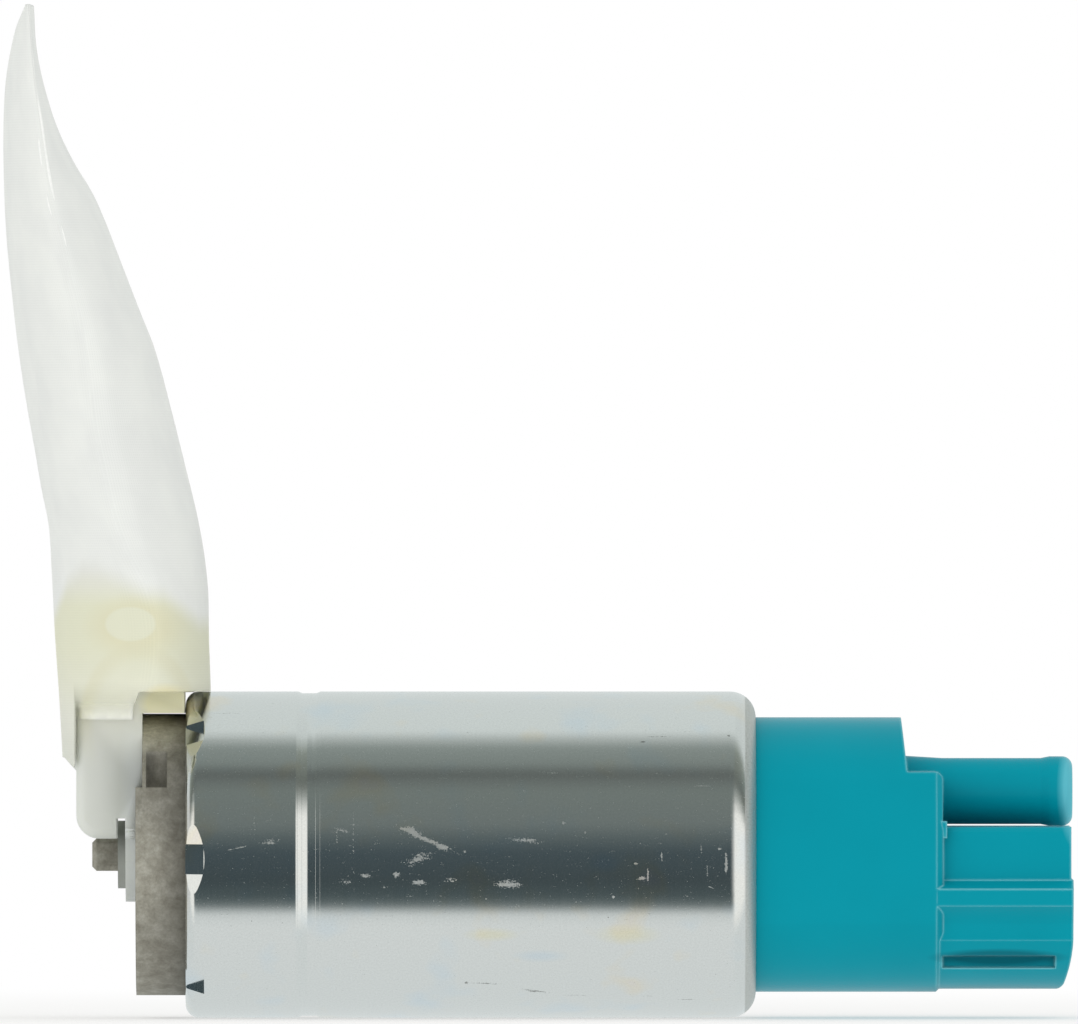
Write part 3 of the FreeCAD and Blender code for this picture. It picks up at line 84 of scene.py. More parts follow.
def linear(colour: str) -> tuple[float, float, float, float]:
    """Turns an sRGB hex colour into linear values.

    Args:
        colour: Six hex digits.

    Returns:
        Red, green, blue and an alpha of 1.
    """
    channels = [int(colour[start : start + 2], 16) / 255 for start in (0, 2, 4)]
    low, power = 0.04045, 2.4
    turned = [c / 12.92 if c <= low else ((c + 0.055) / 1.055) ** power for c in channels]
    return (turned[0], turned[1], turned[2], 1.0)


def per_mm(size: float) -> float:
    """Noise scale in 1/m that gives features of a size in millimetres."""
    return 1.0 / (size * MM)


class Tree:
    """The nodes of one material, or of the world."""

    def __init__(self, owner: Material | World) -> None:
        """Empties the owner's node tree."""
        owner.use_nodes = True
        self.tree = owner.node_tree
        self.tree.nodes.clear()

    def add(self, kind: str, *values: Value, **named: Value) -> Node:
        """Adds one node with its settings and links.

        A socket takes a number, an sRGB hex colour, another socket, or a node whose first live
        output is meant.

        Args:
            kind: The node's type, without ShaderNode in front.
            values: What goes into its first live sockets, in order.
            named: Its settings, and what goes into other sockets, by their names in small letters.

        Returns:
            The new node.
        """
        node = self.tree.nodes.new("ShaderNode" + kind)
        plain = {socket: socket.name.lower().replace(" ", "_") for socket in node.inputs}
        for name, value in named.items():
            if name not in plain.values():
                setattr(node, name, value)
        live = [socket for socket in node.inputs if socket.enabled]
        by_name = [(socket, named[plain[socket]]) for socket in live if plain[socket] in named]
        for socket, value in (*zip(live, values), *by_name):
            if isinstance(value, Node):
                value = next(output for output in value.outputs if output.enabled)
            if isinstance(value, NodeSocket):
                self.tree.links.new(value, socket)
            else:
                socket.default_value = linear(value) if isinstance(value, str) else value
        return node

    @cached_property
    def place(self) -> NodeSocket:
        """The place on the piece, in metres."""
        return self.add("TexCoord").outputs["Object"]

    @cached_property
    def apart(self) -> NodeOutputs:
        """The place's X, Y and Z, each on its own."""
        return self.add("SeparateXYZ", self.place).outputs

    def along(
        self, value: Value, stations: Sequence[tuple[float, str | float]], unit: float = 1.0
    ) -> NodeSocket:
        """Runs straight lines through stations, each a place and what is found there.

        Args:
            value: The place that is looked up.
            stations: Rising places, each with an sRGB hex colour or a level from 0 to 1.
            unit: The stations' unit, in units of the value.

        Returns:
            The colour or the level.
        """
        first, last = stations[0][0], stations[-1][0]
        ramp = self.add("ValToRGB", self.add("MapRange", value, first * unit, last * unit))
        elements = ramp.color_ramp.elements
        elements.remove(elements[-1])
        for index, (spot, what) in enumerate(stations):
            if index:
                elements.new((spot - first) / (last - first))
            elements[index].position = (spot - first) / (last - first)
            elements[index].color = linear(what) if isinstance(what, str) else (what, what, what, 1.0)
        return ramp.outputs[0]

    def ellipse(
        self, place: Value, middle: Point, reach: Point, turn: float = 0.0
    ) -> NodeSocket:
        """One at the middle of an ellipsoid, falling evenly to zero at its surface.

        Args:
            place: The place, in metres.
            middle: The ellipsoid's middle.
            reach: Its half axes.
            turn: Its turn about Z in degrees.

        Returns:
            The level.
        """
        at, axes = ([length * MM for length in lengths] for lengths in (middle, reach))
        turned = (0.0, 0.0, turn * DEGREE)
        local = self.add("Mapping", place, at, turned, axes, vector_type="TEXTURE")
        return self.add("TexGradient", local, gradient_type="SPHERICAL").outputs["Fac"]

    def frame_tone(self) -> Node:
        """Tone of the frame in the bag's lower end, on itself and on the cloth melted to it.

        It is creamiest round the window in the frame's end. The window is an oval that is a little
        lighter, and the duct's wall shows as a faint arch. A warm patch beside the tube is lifted
        as painted light over the shade there.

        Returns:
            The node that holds the colour.
        """
        heights = (
            (11.0, "EAECE1"), (16.0, "F3F4E7"), (19.5, "F4F5E2"), (24.0, "F3F4DB"),
            (29.0, "F3F4DA"), (31.4, "F5F6E8"), (33.5, "F6F7EF"),
        )
        # Place in X, height, both half axes, level by nearness to the middle, and colour.
        spots = (
            (-38.9, 26.6, 6.6, 4.0, ((0.0, 0.0), (0.25, 0.5), (0.45, 1.0)), "F1EFD0"),
            (-39.5, 26.9, 3.1, 2.1, ((0.0, 0.0), (0.12, 1.0)), "F4F5DD"),
            (-38.6, 15.0, 7.2, 10.2, ((0.0, 0.0), (0.08, 0.5), (0.16, 0.5), (0.3, 0.0)), "EFEDD0"),
            # A warm patch beside the tube, lifted as painted light over the shade there.
            (-35.4, 17.6, 3.4, 2.6, ((0.0, 0.0), (0.35, 1.0)), "FAF5D0"),
        )
        tone = self.along(self.apart["Z"], heights, MM)
        for x, height, long, high, levels, colour in spots:
            near = self.ellipse(self.place, (x, 0.0, height), (long, FAR, high))
            tone = self.add("Mix", self.along(near, levels), tone, colour, data_type="RGBA")
        return tone


@dataclass(frozen=True)
class Finish:
    """A finish: it makes one material.

    Attributes:
        name: The material's name, which says what the real one is.
        roughness: Roughness of the clean surface.
    """

    name: str
    roughness: float

    def surface(self, tree: Tree) -> dict[str, Value]:
        """Adds the finish's own nodes.

        Args:
            tree: The material's tree.

        Returns:
            What goes into the Principled shader's sockets, by their names.
        """
        raise NotImplementedError

    def build(self) -> Material:
        """Makes the material.

        Returns:
            The material.
        """
        material = bpy.data.materials.new(self.name)
        tree = Tree(material)
        shader = tree.add("BsdfPrincipled", **{"roughness": self.roughness, **self.surface(tree)})
        tree.add("OutputMaterial", shader)
        return material


class Spread(Enum):
    """Which way the lines of a worked surface run: how much finer they are along X, Y and Z."""

    ALONG_X = (1.0, 60.0, 60.0)
    AROUND_X = (60.0, 1.0, 1.0)
    EVEN = (1.0, 1.0, 1.0)


@dataclass(frozen=True)
class WorkedMetal(Finish):
    """Turned, ground, drawn or stamped metal: fine lines one way, and a little variation in tone.

    Attributes:
        colour: sRGB hex colour of the metal.
        second: sRGB hex colour that the tone drifts to.
        spread: The way that the lines run.
        line: Distance between lines.
        relief: Strength of the lines' bump.
        metallic: Metallic weight, less than 1 where a coating hides the metal.
    """

    colour: str
    second: str
    spread: Spread = Spread.EVEN
    line: float = 0.15
    relief: float = 0.05
    metallic: float = 1.0

    def surface(self, tree: Tree) -> dict[str, Value]:
        """Lines are noise stretched along their way; tone drifts on a scale of 3 mm."""
        fine = per_mm(self.line) / max(self.spread.value)
        stretched = tree.add("Mapping", tree.place, scale=self.spread.value)
        lines = tree.add("TexNoise", stretched, scale=fine, detail=3.0)
        drift = tree.add("TexNoise", tree.place, scale=per_mm(3.0), detail=4.0)
        least, most = self.roughness * 0.75, self.roughness * 1.25
        return {
            "base_color": tree.add("Mix", drift, self.colour, self.second, data_type="RGBA"),
            "metallic": self.metallic,
            "roughness": tree.add("MapRange", lines, to_min=least, to_max=most),
            "normal": tree.add("Bump", height=lines, strength=self.relief, distance=0.02 * MM),
        }


@dataclass(frozen=True)
class Moulding(Finish):
    """Injection-moulded plastic: fine spark-eroded grain, and rounded edges with a painted highlight.

    Attributes:
        colour: sRGB hex colour of the plastic.
        edge: sRGB hex colour painted along the edges as a highlight.
        edge_radius: Radius of the edges, drawn by the shader.
        grain: Size of the mould's grain.
        relief: Strength of the grain's bump.
        depth: Weight of the light that goes under the surface.
        gloss: Specular level.
        bloom: Sheen weight: the pale look of a filled plastic at a grazing angle.
        spots: Places of painted shade and painted highlight: middle and half axes of each, and its
            colour.
    """

    colour: str
    edge: str
    edge_radius: float
    relief: float
    grain: float = 0.1
    depth: float = 0.0
    gloss: float = 0.4
    bloom: float = 0.0
    spots: tuple[tuple[Point, Point, str], ...] = ()

    def surface(self, tree: Tree) -> dict[str, Value]:
        """Edge mask: one minus the dot product of the rounded normal and the true one; it paints a
        highlight along the edges.

        The tone drifts by a twentieth on a scale of 9 mm.
        """
        drift = tree.add("TexNoise", tree.place, scale=per_mm(9.0), detail=3.0)
        grain = tree.add("TexNoise", tree.place, scale=per_mm(self.grain), detail=2.0)
        rounded = tree.add("Bevel", radius=self.edge_radius * MM, samples=6)
        true = tree.add("NewGeometry").outputs["Normal"]
        agree = tree.add("VectorMath", rounded, true, operation="DOT_PRODUCT")
        edge_highlight = tree.add("MapRange", agree, 0.99, 0.80)
        level = tree.add("MapRange", drift, to_min=0.95, to_max=1.05)
        toned = tree.add("HueSaturation", color=self.colour, value=level)
        # Painted highlight along the edges.
        paint = tree.add("Mix", edge_highlight, toned, self.edge, data_type="RGBA")
        # Spots of painted shade and painted highlight.
        for middle, reach, colour in self.spots:
            near = tree.ellipse(tree.place, middle, reach)
            share = tree.add("MapRange", near, from_max=0.4, to_max=0.7)
            paint = tree.add("Mix", share, paint, colour, data_type="RGBA")
        bump = tree.add(
            "Bump", height=grain, strength=self.relief, distance=0.03 * MM, normal=rounded
        )
        return {
            "base_color": paint,
            "specular_ior_level": self.gloss,
            "sheen_weight": self.bloom,
            "sheen_roughness": 0.3,
            "subsurface_weight": self.depth,
            "subsurface_radius": (1.0, 1.0, 0.9),
            "subsurface_scale": 1.2 * MM,
            "normal": bump,
        }


@dataclass(frozen=True)
class MilkyNylon(Finish):
    """Natural nylon, moulded and milky; below the bag its tone along X is painted light at thin edges
    and painted shade beside metal.

    It is creamy where it is thick inside the bag, and the duct inside shows as a faint arch.

    Attributes:
        bare: Colours of the part below the bag, by place in X, with painted light and shade in them.
        blend: Heights over which the bare tone gives way to the frame's.
    """

    bare: Tones = (
        (-46.4, "DCDFD7"), (-43.2, "D9DCD5"), (-40.9, "D3D7D0"), (-39.6, "D9DEDB"), (-38.0, "E2E7E5"),
    )
    blend: tuple[float, float] = (9.0, 18.0)

    def surface(self, tree: Tree) -> dict[str, Value]:
        """The bare tone, with its painted light and shade, follows X, and blends into the frame's
        with height.
        """
        bare = tree.along(tree.apart["X"], self.bare, MM)
        low, high = (height * MM for height in self.blend)
        up = tree.add("MapRange", tree.apart["Z"], low, high, interpolation_type="SMOOTHSTEP")
        grain = tree.add("TexNoise", tree.place, scale=per_mm(0.25), detail=2.0)
        return {
            "base_color": tree.add("Mix", up, bare, tree.frame_tone(), data_type="RGBA"),
            "specular_ior_level": 0.3,
            "subsurface_weight": 0.3,
            "subsurface_radius": (1.0, 1.0, 0.9),
            "subsurface_scale": 1.0 * MM,
            "normal": tree.add("Bump", height=grain, strength=0.08, distance=0.03 * MM),
        }


@dataclass(frozen=True)
class DieCasting(Finish):
    """Die-cast aluminium alloy, left raw: a dull skin, a fine grain and a few lighter flow marks.

    Attributes:
        stain: sRGB hex colour of the darker stains.
        colour: sRGB hex colour of the skin.
        cloud: sRGB hex colour of the lighter flow marks.
        shade: Places in X, and the tone there: painted light at the cover's outer end and painted
            shade towards the tube.
        patches: Patches of painted light and painted shade: middle and half axes of each, and its
            tone, above 1 for light and below 1 for shade.
    """

    stain: str = "7A776C"
    colour: str = "8A887D"
    cloud: str = "9C9A90"
    shade: Line = ((-39.0, 1.22), (-36.5, 1.0), (-34.5, 0.78), (-33.2, 0.7))
    patches: tuple[tuple[Point, Point, float], ...] = (
        ((-37.6, -15.0, -1.2), (3.6, 12.0, 7.5), 1.26),
        ((-36.6, -8.0, 15.6), (7.0, 30.0, 4.0), 2.1),
        ((-37.2, -11.5, 10.4), (0.9, 3.0, 3.2), 0.68),
    )

    def surface(self, tree: Tree) -> dict[str, Value]:
        """Flow marks of 1.6 mm over a grain of 0.3 mm; the tone follows the stations in X and the
        patches, which paint light and shade.
        """
        place = tree.place
        clouds = tree.add(
            "TexNoise", place, scale=per_mm(1.6), detail=6.0, roughness=0.65, distortion=0.3
        )
        pits = tree.add("TexNoise", place, scale=per_mm(0.3), detail=4.0, roughness=0.7)
        skin = tree.along(clouds, ((0.32, self.stain), (0.5, self.colour), (0.7, self.cloud)))
        most = max(tone for _, tone in self.shade)
        # Painted light at the cover's outer end, and painted shade towards the tube.
        shade = tree.along(tree.apart["X"], [(x, tone / most) for x, tone in self.shade], MM)
        speck = tree.add("MapRange", pits, 0.3, 0.7, 0.87 * most, 1.13 * most)
        tone = tree.add("Math", shade, speck, operation="MULTIPLY")
        # Patches of painted light and painted shade.
        for middle, reach, gain in self.patches:
            near = tree.ellipse(place, middle, reach)
            painted_light_gain = tree.add("MapRange", near, from_max=0.6, to_min=1.0, to_max=gain)
            tone = tree.add("Math", tone, painted_light_gain, operation="MULTIPLY")
        rounded = tree.add("Bevel", radius=0.3 * MM, samples=6)
        return {
            "base_color": tree.add("HueSaturation", color=skin, value=tone),
            "metallic": 0.25,
            "specular_ior_level": 0.3,
            "normal": tree.add(
                "Bump", height=pits, strength=0.35, distance=0.05 * MM, normal=rounded
            ),
        }


@dataclass(frozen=True)
class Scuff:
    """A patch of scratches or dirt on the tube, on its unrolled surface.

    Attributes:
        x: Place along the tube.
        height: Height of the patch's middle on the side that faces -Y.
        long: Half length along its own line.
        wide: Half width across its line.
        turn: Turn of its line in degrees.
        weight: How much of the patch is marked.
    """

    x: float
    height: float
    long: float
    wide: float
    turn: float = 0.0
    weight: float = 1.0

    @property
    def around(self) -> float:
        """Distance around the tube from the line that faces -Y."""
        return HOUSING_R * math.asin(self.height / HOUSING_R)


SCRATCHES = (
    Scuff(-5.2, 1.9, 5.1, 0.45, -23.0, 0.9), Scuff(-6.9, 3.0, 1.5, 0.5, -20.0, 0.9),
    Scuff(-3.3, 1.0, 0.8, 0.4), Scuff(-14.8, 2.9, 2.4, 0.3, -17.0, 0.5),
    Scuff(-6.0, -0.3, 2.4, 0.9, 20.0, 0.7), Scuff(-8.6, -2.2, 0.6, 0.6),
    Scuff(-6.0, -3.1, 1.3, 0.45), Scuff(-2.4, -2.8, 1.4, 0.6, 0.0, 0.5),
    Scuff(-12.2, -2.3, 1.0, 0.35, 0.0, 0.9), Scuff(-14.6, -3.1, 1.2, 0.5, 0.0, 0.6),
    Scuff(-10.0, -3.7, 0.5, 0.2, 0.0, 0.5), Scuff(-23.3, 1.6, 1.9, 0.5, 8.0, 0.6),
    Scuff(-27.0, 0.9, 1.9, 0.12, 12.0, 0.8), Scuff(-25.1, 4.3, 5.0, 0.08, 90.0, 0.4),
    Scuff(-23.2, 5.2, 3.2, 0.1, 90.0, 0.4), Scuff(-13.6, 2.3, 5.3, 0.1, 90.0, 0.45),
    Scuff(-15.5, 2.3, 2.4, 0.2, 90.0, 0.4), Scuff(6.3, 1.8, 3.0, 0.6, -6.0, 0.6),
    Scuff(4.4, -3.3, 2.2, 0.7, 0.0, 0.9), Scuff(10.8, 3.8, 0.3, 0.3),
    Scuff(13.3, 2.7, 0.15, 0.15), Scuff(22.2, -0.1, 0.7, 0.15, 90.0, 1.2),
    Scuff(20.6, -2.3, 1.1, 0.15, 90.0, 1.2), Scuff(26.8, 0.8, 0.8, 0.12, 90.0, 0.7),
    Scuff(29.7, -0.9, 2.0, 0.25, 90.0, 1.0), Scuff(27.5, -1.7, 1.3, 0.1, 90.0, 0.7),
    Scuff(18.4, 8.0, 0.3, 0.08, 90.0, 0.8), Scuff(4.2, 10.3, 0.6, 0.08, 90.0, 0.5),
    Scuff(19.9, -2.6, 0.7, 0.3), Scuff(19.3, -0.9, 0.5, 0.2, 0.0, 0.8),
    Scuff(16.6, -4.8, 0.2, 0.2, 0.0, 1.5), Scuff(28.9, 0.8, 0.3, 0.15, 0.0, 1.3),
    Scuff(28.0, -3.7, 0.5, 0.1, -25.0, 0.9), Scuff(27.1, 8.1, 1.5, 0.08),
    Scuff(6.2, 7.5, 0.3, 0.08, -45.0, 0.8), Scuff(9.5, 9.6, 0.8, 0.08, 0.0, 0.8),
    Scuff(-0.7, 0.5, 0.25, 0.25), Scuff(1.8, -5.0, 0.12, 0.12),
)
STAINS = (
    Scuff(21.7, 13.8, 2.6, 0.15, 0.0, 0.9), Scuff(20.0, 13.2, 0.6, 0.35, 0.0, 0.9),
    Scuff(30.0, 13.9, 0.25, 0.25, 0.0, 1.2), Scuff(30.1, 14.5, 3.5, 0.06, 90.0, 0.4),
    Scuff(1.8, -14.9, 3.1, 0.3, -2.0, 0.8), Scuff(-0.5, -14.8, 0.35, 0.35),
    Scuff(7.5, -15.8, 2.4, 0.4, -12.0, 1.0), Scuff(12.6, -16.3, 3.0, 0.12, 0.0, 0.9),
    Scuff(20.6, -16.4, 1.4, 0.12, 0.0, 0.8), Scuff(24.9, -16.8, 1.8, 0.15),
    Scuff(20.2, -15.6, 0.3, 0.3, 0.0, 0.5), Scuff(16.0, -7.2, 0.15, 0.15, 0.0, 0.9),
    Scuff(30.2, -15.3, 0.2, 0.2, 0.0, 0.8), Scuff(-23.7, -15.5, 1.6, 0.25, 0.0, 0.6),
    Scuff(-14.8, -15.0, 0.3, 0.08, 90.0, 0.6), Scuff(-28.6, 16.5, 3.1, 0.08, 0.0, 0.8),
    Scuff(-23.0, 17.6, 0.3, 0.3, 0.0, 0.6), Scuff(5.2, 16.7, 3.5, 0.08, 0.0, 0.5),
    Scuff(12.4, 17.7, 0.8, 0.1, 0.0, 0.7), Scuff(30.1, 17.8, 0.15, 0.15, 0.0, 0.8),
    Scuff(-24.0, -7.9, 1.0, 0.3, 0.0, 0.35),
)


@dataclass(frozen=True)
class PlatedTube(Finish):
    """Rolled steel tube with bright zinc plating: smooth, faintly tinted, with handling marks.

    Scratches are rougher than the plating, so they look light where it mirrors something
    dark and dark where it mirrors something light.

    Attributes:
        tints: The tint that passivation leaves: bluish, plain, yellowish and pinkish.
        yellow: The patches with a stronger yellow tint.
        blue: The patches with a stronger blue tint.
        bead: Slope of the locating bead as light shows it, less the plain groove's, by place in X.
        rim: Place in X where the rolled rim is left grainy.
        worn: Roughness of a scratch and of the rim.
        rim_tone: sRGB hex colour of the rim.
        dirt: sRGB hex colour of the stains.
    """

    tints: Tones = (
        (0.32, "DAE3E9"), (0.45, "E3E5E4"), (0.56, "E3E5E4"), (0.64, "E8E3D8"), (0.70, "E6E1E2"),
    )
    yellow: tuple[Scuff, ...] = (Scuff(2.4, -9.2, 3.5, 1.0), Scuff(18.2, -9.2, 4.2, 1.5))
    blue: tuple[Scuff, ...] = (Scuff(8.1, -11.7, 3.5, 1.0), Scuff(15.5, -0.9, 2.0, 1.5))
    bead: Line = (
        (-20.35, 0.0), (-20.25, -0.25), (-20.12, -0.25), (-20.08, 0.15), (-19.62, 0.15),
        (-19.58, -0.25), (-19.0, -0.25), (-18.9, 0.0), (-18.5, 0.0), (-18.42, 0.14),
        (-18.15, 0.14), (-18.02, 0.0), (-17.98, -0.4), (-17.52, -0.4), (-17.48, 0.0),
    )
    rim: float = 31.85
    worn: float = 0.62
    rim_tone: str = "CDCFCC"
    dirt: str = "6A6A66"

    def patches(
        self, tree: Tree, unrolled: Node, marks: Sequence[Scuff]
    ) -> Node:
        """Adds up soft ellipses: one minus the distance, in each patch's own axes.

        Args:
            tree: The material's tree.
            unrolled: The unrolled surface's coordinates, in metres.
            marks: The patches.

        Returns:
            The sum of the patches.
        """
        total: Value = 0.0
        for mark in marks:
            axes = (mark.long, mark.wide, FAR)
            near = tree.ellipse(unrolled, (mark.x, mark.around, 0.0), axes, mark.turn)
            total = tree.add("Math", near, mark.weight, total, operation="MULTIPLY_ADD")
        return total

    def unroll(self, tree: Tree) -> Node:
        """Unrolls the tube: x, and the radius times the angle from -Y towards +Z."""
        forward = tree.add("Math", tree.apart["Y"], -1.0, operation="MULTIPLY")
        angle = tree.add("Math", tree.apart["Z"], forward, operation="ARCTAN2")
        around = tree.add("Math", angle, HOUSING_R * MM, operation="MULTIPLY")
        return tree.add("CombineXYZ", tree.apart["X"], around)

    def tinted(self, tree: Tree, unrolled: Node) -> Node:
        """Tint of the plating: it drifts over 14 mm and 5 mm, with a few stronger patches.

        Args:
            tree: The material's tree.
            unrolled: The unrolled surface's coordinates, in metres.

        Returns:
            The node that holds the colour.
        """
        wide = tree.add("TexNoise", unrolled, scale=per_mm(14.0), detail=2.0)
        small = tree.add("TexNoise", unrolled, scale=per_mm(5.0), detail=2.0)
        most = tree.add("Math", wide, 0.62, operation="MULTIPLY")
        drift = tree.add("Math", small, 0.38, most, operation="MULTIPLY_ADD")
        colour = tree.along(drift, self.tints)
        for marks, name in ((self.yellow, "EAE2B8"), (self.blue, "CBDCEA")):
            spots = self.patches(tree, unrolled, marks)
            share = tree.add("MapRange", spots, from_max=0.7, to_max=0.42)
            colour = tree.add("Mix", share, colour, name, data_type="RGBA")
        grain = tree.add("TexNoise", unrolled, scale=per_mm(0.25), detail=2.0)
        level = tree.add("MapRange", grain, 0.3, 0.7, 0.965, 1.035)
        return tree.add("HueSaturation", color=colour, value=level)

    def beaded(self, tree: Tree) -> Node:
        """Eases the groove's flanks: a height in X that is the sum of the slopes so far.

        Args:
            tree: The material's tree.

        Returns:
            The bump that holds the height.
        """
        places, slopes = np.array(self.bead).T
        steps = np.diff(places) * (slopes[1:] + slopes[:-1]) / 2
        height = np.concatenate([[0.0], np.cumsum(steps)])
        low, span = float(height.min()), float(np.ptp(height))
        levels = [(float(x), float((h - low) / span)) for x, h in zip(places, height)]
        rise = tree.along(tree.apart["X"], levels, MM)
        return tree.add("Bump", height=rise, strength=1.0, distance=span * MM)

    def surface(self, tree: Tree) -> dict[str, Value]:
        """Scratches are thin stretched noise inside their patches, over the tinted plating."""
        unrolled = self.unroll(tree)
        flat = tree.add("Mapping", unrolled, scale=(1.0, 4.0, 1.0))
        rubbed = tree.add("TexNoise", flat, scale=per_mm(1.3), detail=8.0, roughness=0.72)
        specks = tree.add("TexNoise", unrolled, scale=per_mm(0.22), detail=3.0)
        ragged = tree.add("Math", rubbed, specks, operation="MULTIPLY")
        scratches = self.patches(tree, unrolled, SCRATCHES)
        scuffed = tree.add("Math", scratches, 0.33, ragged, operation="MULTIPLY_ADD")
        scratch = tree.add("MapRange", scuffed, 0.35, 0.45, to_max=0.8)
        dusty = tree.add("MapRange", specks, 0.71, 0.78, to_max=0.3)
        marked = tree.add("Math", scratch, dusty, operation="MAXIMUM")
        stains = self.patches(tree, unrolled, STAINS)
        soiled = tree.add("Math", stains, 0.3, ragged, operation="MULTIPLY_ADD")
        stain = tree.add("MapRange", soiled, 0.40, 0.50, to_max=0.7)
        lines = tree.add("Mapping", unrolled, scale=(1.0, 0.03, 1.0))
        brushed = tree.add("TexNoise", lines, scale=per_mm(0.35), detail=2.0)
        least, most = self.roughness * 0.8, self.roughness * 1.2
        smooth = tree.add("MapRange", brushed, to_min=least, to_max=most)
        at_rim = tree.add("MapRange", tree.apart["X"], self.rim * MM, (self.rim + 0.15) * MM)
        grainy = tree.add("MapRange", specks, 0.35, 0.65, to_min=0.6)
        rolled = tree.add("Math", at_rim, grainy, operation="MULTIPLY")
        worn = tree.add("Math", marked, rolled, operation="MAXIMUM")
        plating = self.tinted(tree, unrolled)
        edged = tree.add("Mix", rolled, plating, self.rim_tone, data_type="RGBA")
        bead = self.beaded(tree)
        return {
            "base_color": tree.add("Mix", stain, edged, self.dirt, data_type="RGBA"),
            "metallic": 1.0,
            "roughness": tree.add("Mix", worn, smooth, self.worn, data_type="FLOAT"),
            "normal": tree.add("Bump", height=marked, strength=0.25, distance=0.01 * MM, normal=bead),
        }


@dataclass(frozen=True)
class Stack(Finish):
    """Laminations or wound wire: fine bands that repeat along X.

    Attributes:
        colour: sRGB hex colour of the bands.
        second: sRGB hex colour between the bands.
        pitch: Distance between bands.
        metallic: Metallic weight.
    """

    colour: str
    second: str
    pitch: float
    metallic: float

    def surface(self, tree: Tree) -> dict[str, Value]:
        """Bands are a sine of x with the pitch as its period."""
        fine = BANDS * per_mm(self.pitch)
        wave = tree.add(
            "TexWave", tree.place, scale=fine, distortion=0.4, detail=1.0, bands_direction="X"
        )
        bands = wave.outputs["Fac"]
        return {
            "base_color": tree.add("Mix", bands, self.second, self.colour, data_type="RGBA"),
            "metallic": self.metallic,
            "normal": tree.add("Bump", height=bands, strength=0.5, distance=0.05 * MM),
        }


@dataclass(frozen=True)
class Sintered(Finish):
    """Pressed powder, such as carbon or ferrite: matt, with fine bright grains.

    Attributes:
        colour: sRGB hex colour of the powder.
        sparkle: sRGB hex colour of the brighter grains.
        grain: Size of the grains.
    """

    colour: str
    sparkle: str
    grain: float

    def surface(self, tree: Tree) -> dict[str, Value]:
        """Bright grains are the top of a fine noise."""
        grains = tree.add("TexNoise", tree.place, scale=per_mm(self.grain), detail=3.0)
        return {
            "base_color": tree.along(grains, ((0.45, self.colour), (0.75, self.sparkle))),
            "normal": tree.add("Bump", height=grains, strength=0.3, distance=0.03 * MM),
        }


@dataclass(frozen=True)
class WovenNylon(Finish):
    """Fine monofilament cloth, near white, that lets the frame inside show through.

    The real threads are about 0.1 mm apart. They are drawn 0.3 mm apart, so that they show.

    Attributes:
        colours: sRGB hex colours of the cloth, by level of a noise of 8 mm.
        thread: Distance between threads, as drawn.
        cover: Share of the view that the threads block.
        fused: That share at the lower end, where the cloth is melted to the frame.
        melt: Top of that end, by place in X.
        fade: Heights below and above that line over which the cloth takes its own tone.
        hem: Heights over which the melted cloth thins away on the base.
        tail: Place in X where the cloth wraps the base's back edge.
    """

    colours: Tones = ((0.35, "EEF0EC"), (0.65, "F4F6F1"))
    thread: float = 0.3
    cover: float = 0.93
    fused: float = 0.78
    melt: Line = (
        (-48.6, 28.0), (-46.8, 32.6), (-45.0, 34.2), (-43.2, 34.0), (-40.3, 32.6),
        (-37.7, 31.2), (-35.6, 31.0), (-33.6, 29.4), (-31.6, 27.6),
    )
    fade: tuple[float, float] = (-2.4, 1.0)
    hem: tuple[float, float] = (15.8, 20.5)
    tail: float = -46.0

    def melted(self, tree: Tree) -> Node:
        """One where the cloth is melted to the frame, and zero above that line."""
        tops = [top for _, top in self.melt]
        low, span = min(tops), max(tops) - min(tops)
        line = tree.along(tree.apart["X"], [(x, (top - low) / span) for x, top in self.melt], MM)
        above = tree.add("Math", line, -span * MM, tree.apart["Z"], operation="MULTIPLY_ADD")
        least, most = ((low + edge) * MM for edge in self.fade)
        return tree.add("MapRange", above, least, most, 1.0, 0.0, interpolation_type="SMOOTHSTEP")

    def share(self, tree: Tree, melted: Node) -> Node:
        """Share of the view that the cloth blocks.

        Args:
            tree: The material's tree.
            melted: One where the cloth is melted to the frame.

        Returns:
            The share.
        """
        full = tree.add("MapRange", melted, to_min=self.cover, to_max=self.fused)
        low, high = (height * MM for height in self.hem)
        thin = tree.add("MapRange", tree.apart["Z"], low, high, interpolation_type="SMOOTHSTEP")
        from_x, to_x = (self.tail + 0.2) * MM, (self.tail - 0.2) * MM
        behind = tree.add("MapRange", tree.apart["X"], from_x, to_x)
        left = tree.add("Math", thin, behind, operation="MAXIMUM")
        return tree.add("Math", full, left, operation="MULTIPLY")

    def surface(self, tree: Tree) -> dict[str, Value]:
        """Plain weave: the higher of two sines, one along each of the sheet's own axes."""
        melted = self.melted(tree)
        sheet = tree.add("UVMap", uv_map="UVMap")
        ways = [
            tree.add("TexWave", sheet, scale=BANDS / self.thread, bands_direction=way).outputs["Fac"]
            for way in "XY"
        ]
        weave = tree.add("Math", *ways, operation="MAXIMUM")
        drift = tree.add("TexNoise", sheet, scale=0.12, detail=3.0)
        tone = tree.along(drift, self.colours)
        paint = tree.add("Mix", melted, tone, tree.frame_tone(), data_type="RGBA")
        shade = tree.add("MapRange", weave, to_min=0.95)
        return {
            "base_color": tree.add("HueSaturation", color=paint, value=shade),
            "alpha": self.share(tree, melted),
            "specular_ior_level": 0.2,
            "normal": tree.add("Bump", height=weave, strength=0.12, distance=0.05 * MM),
        }


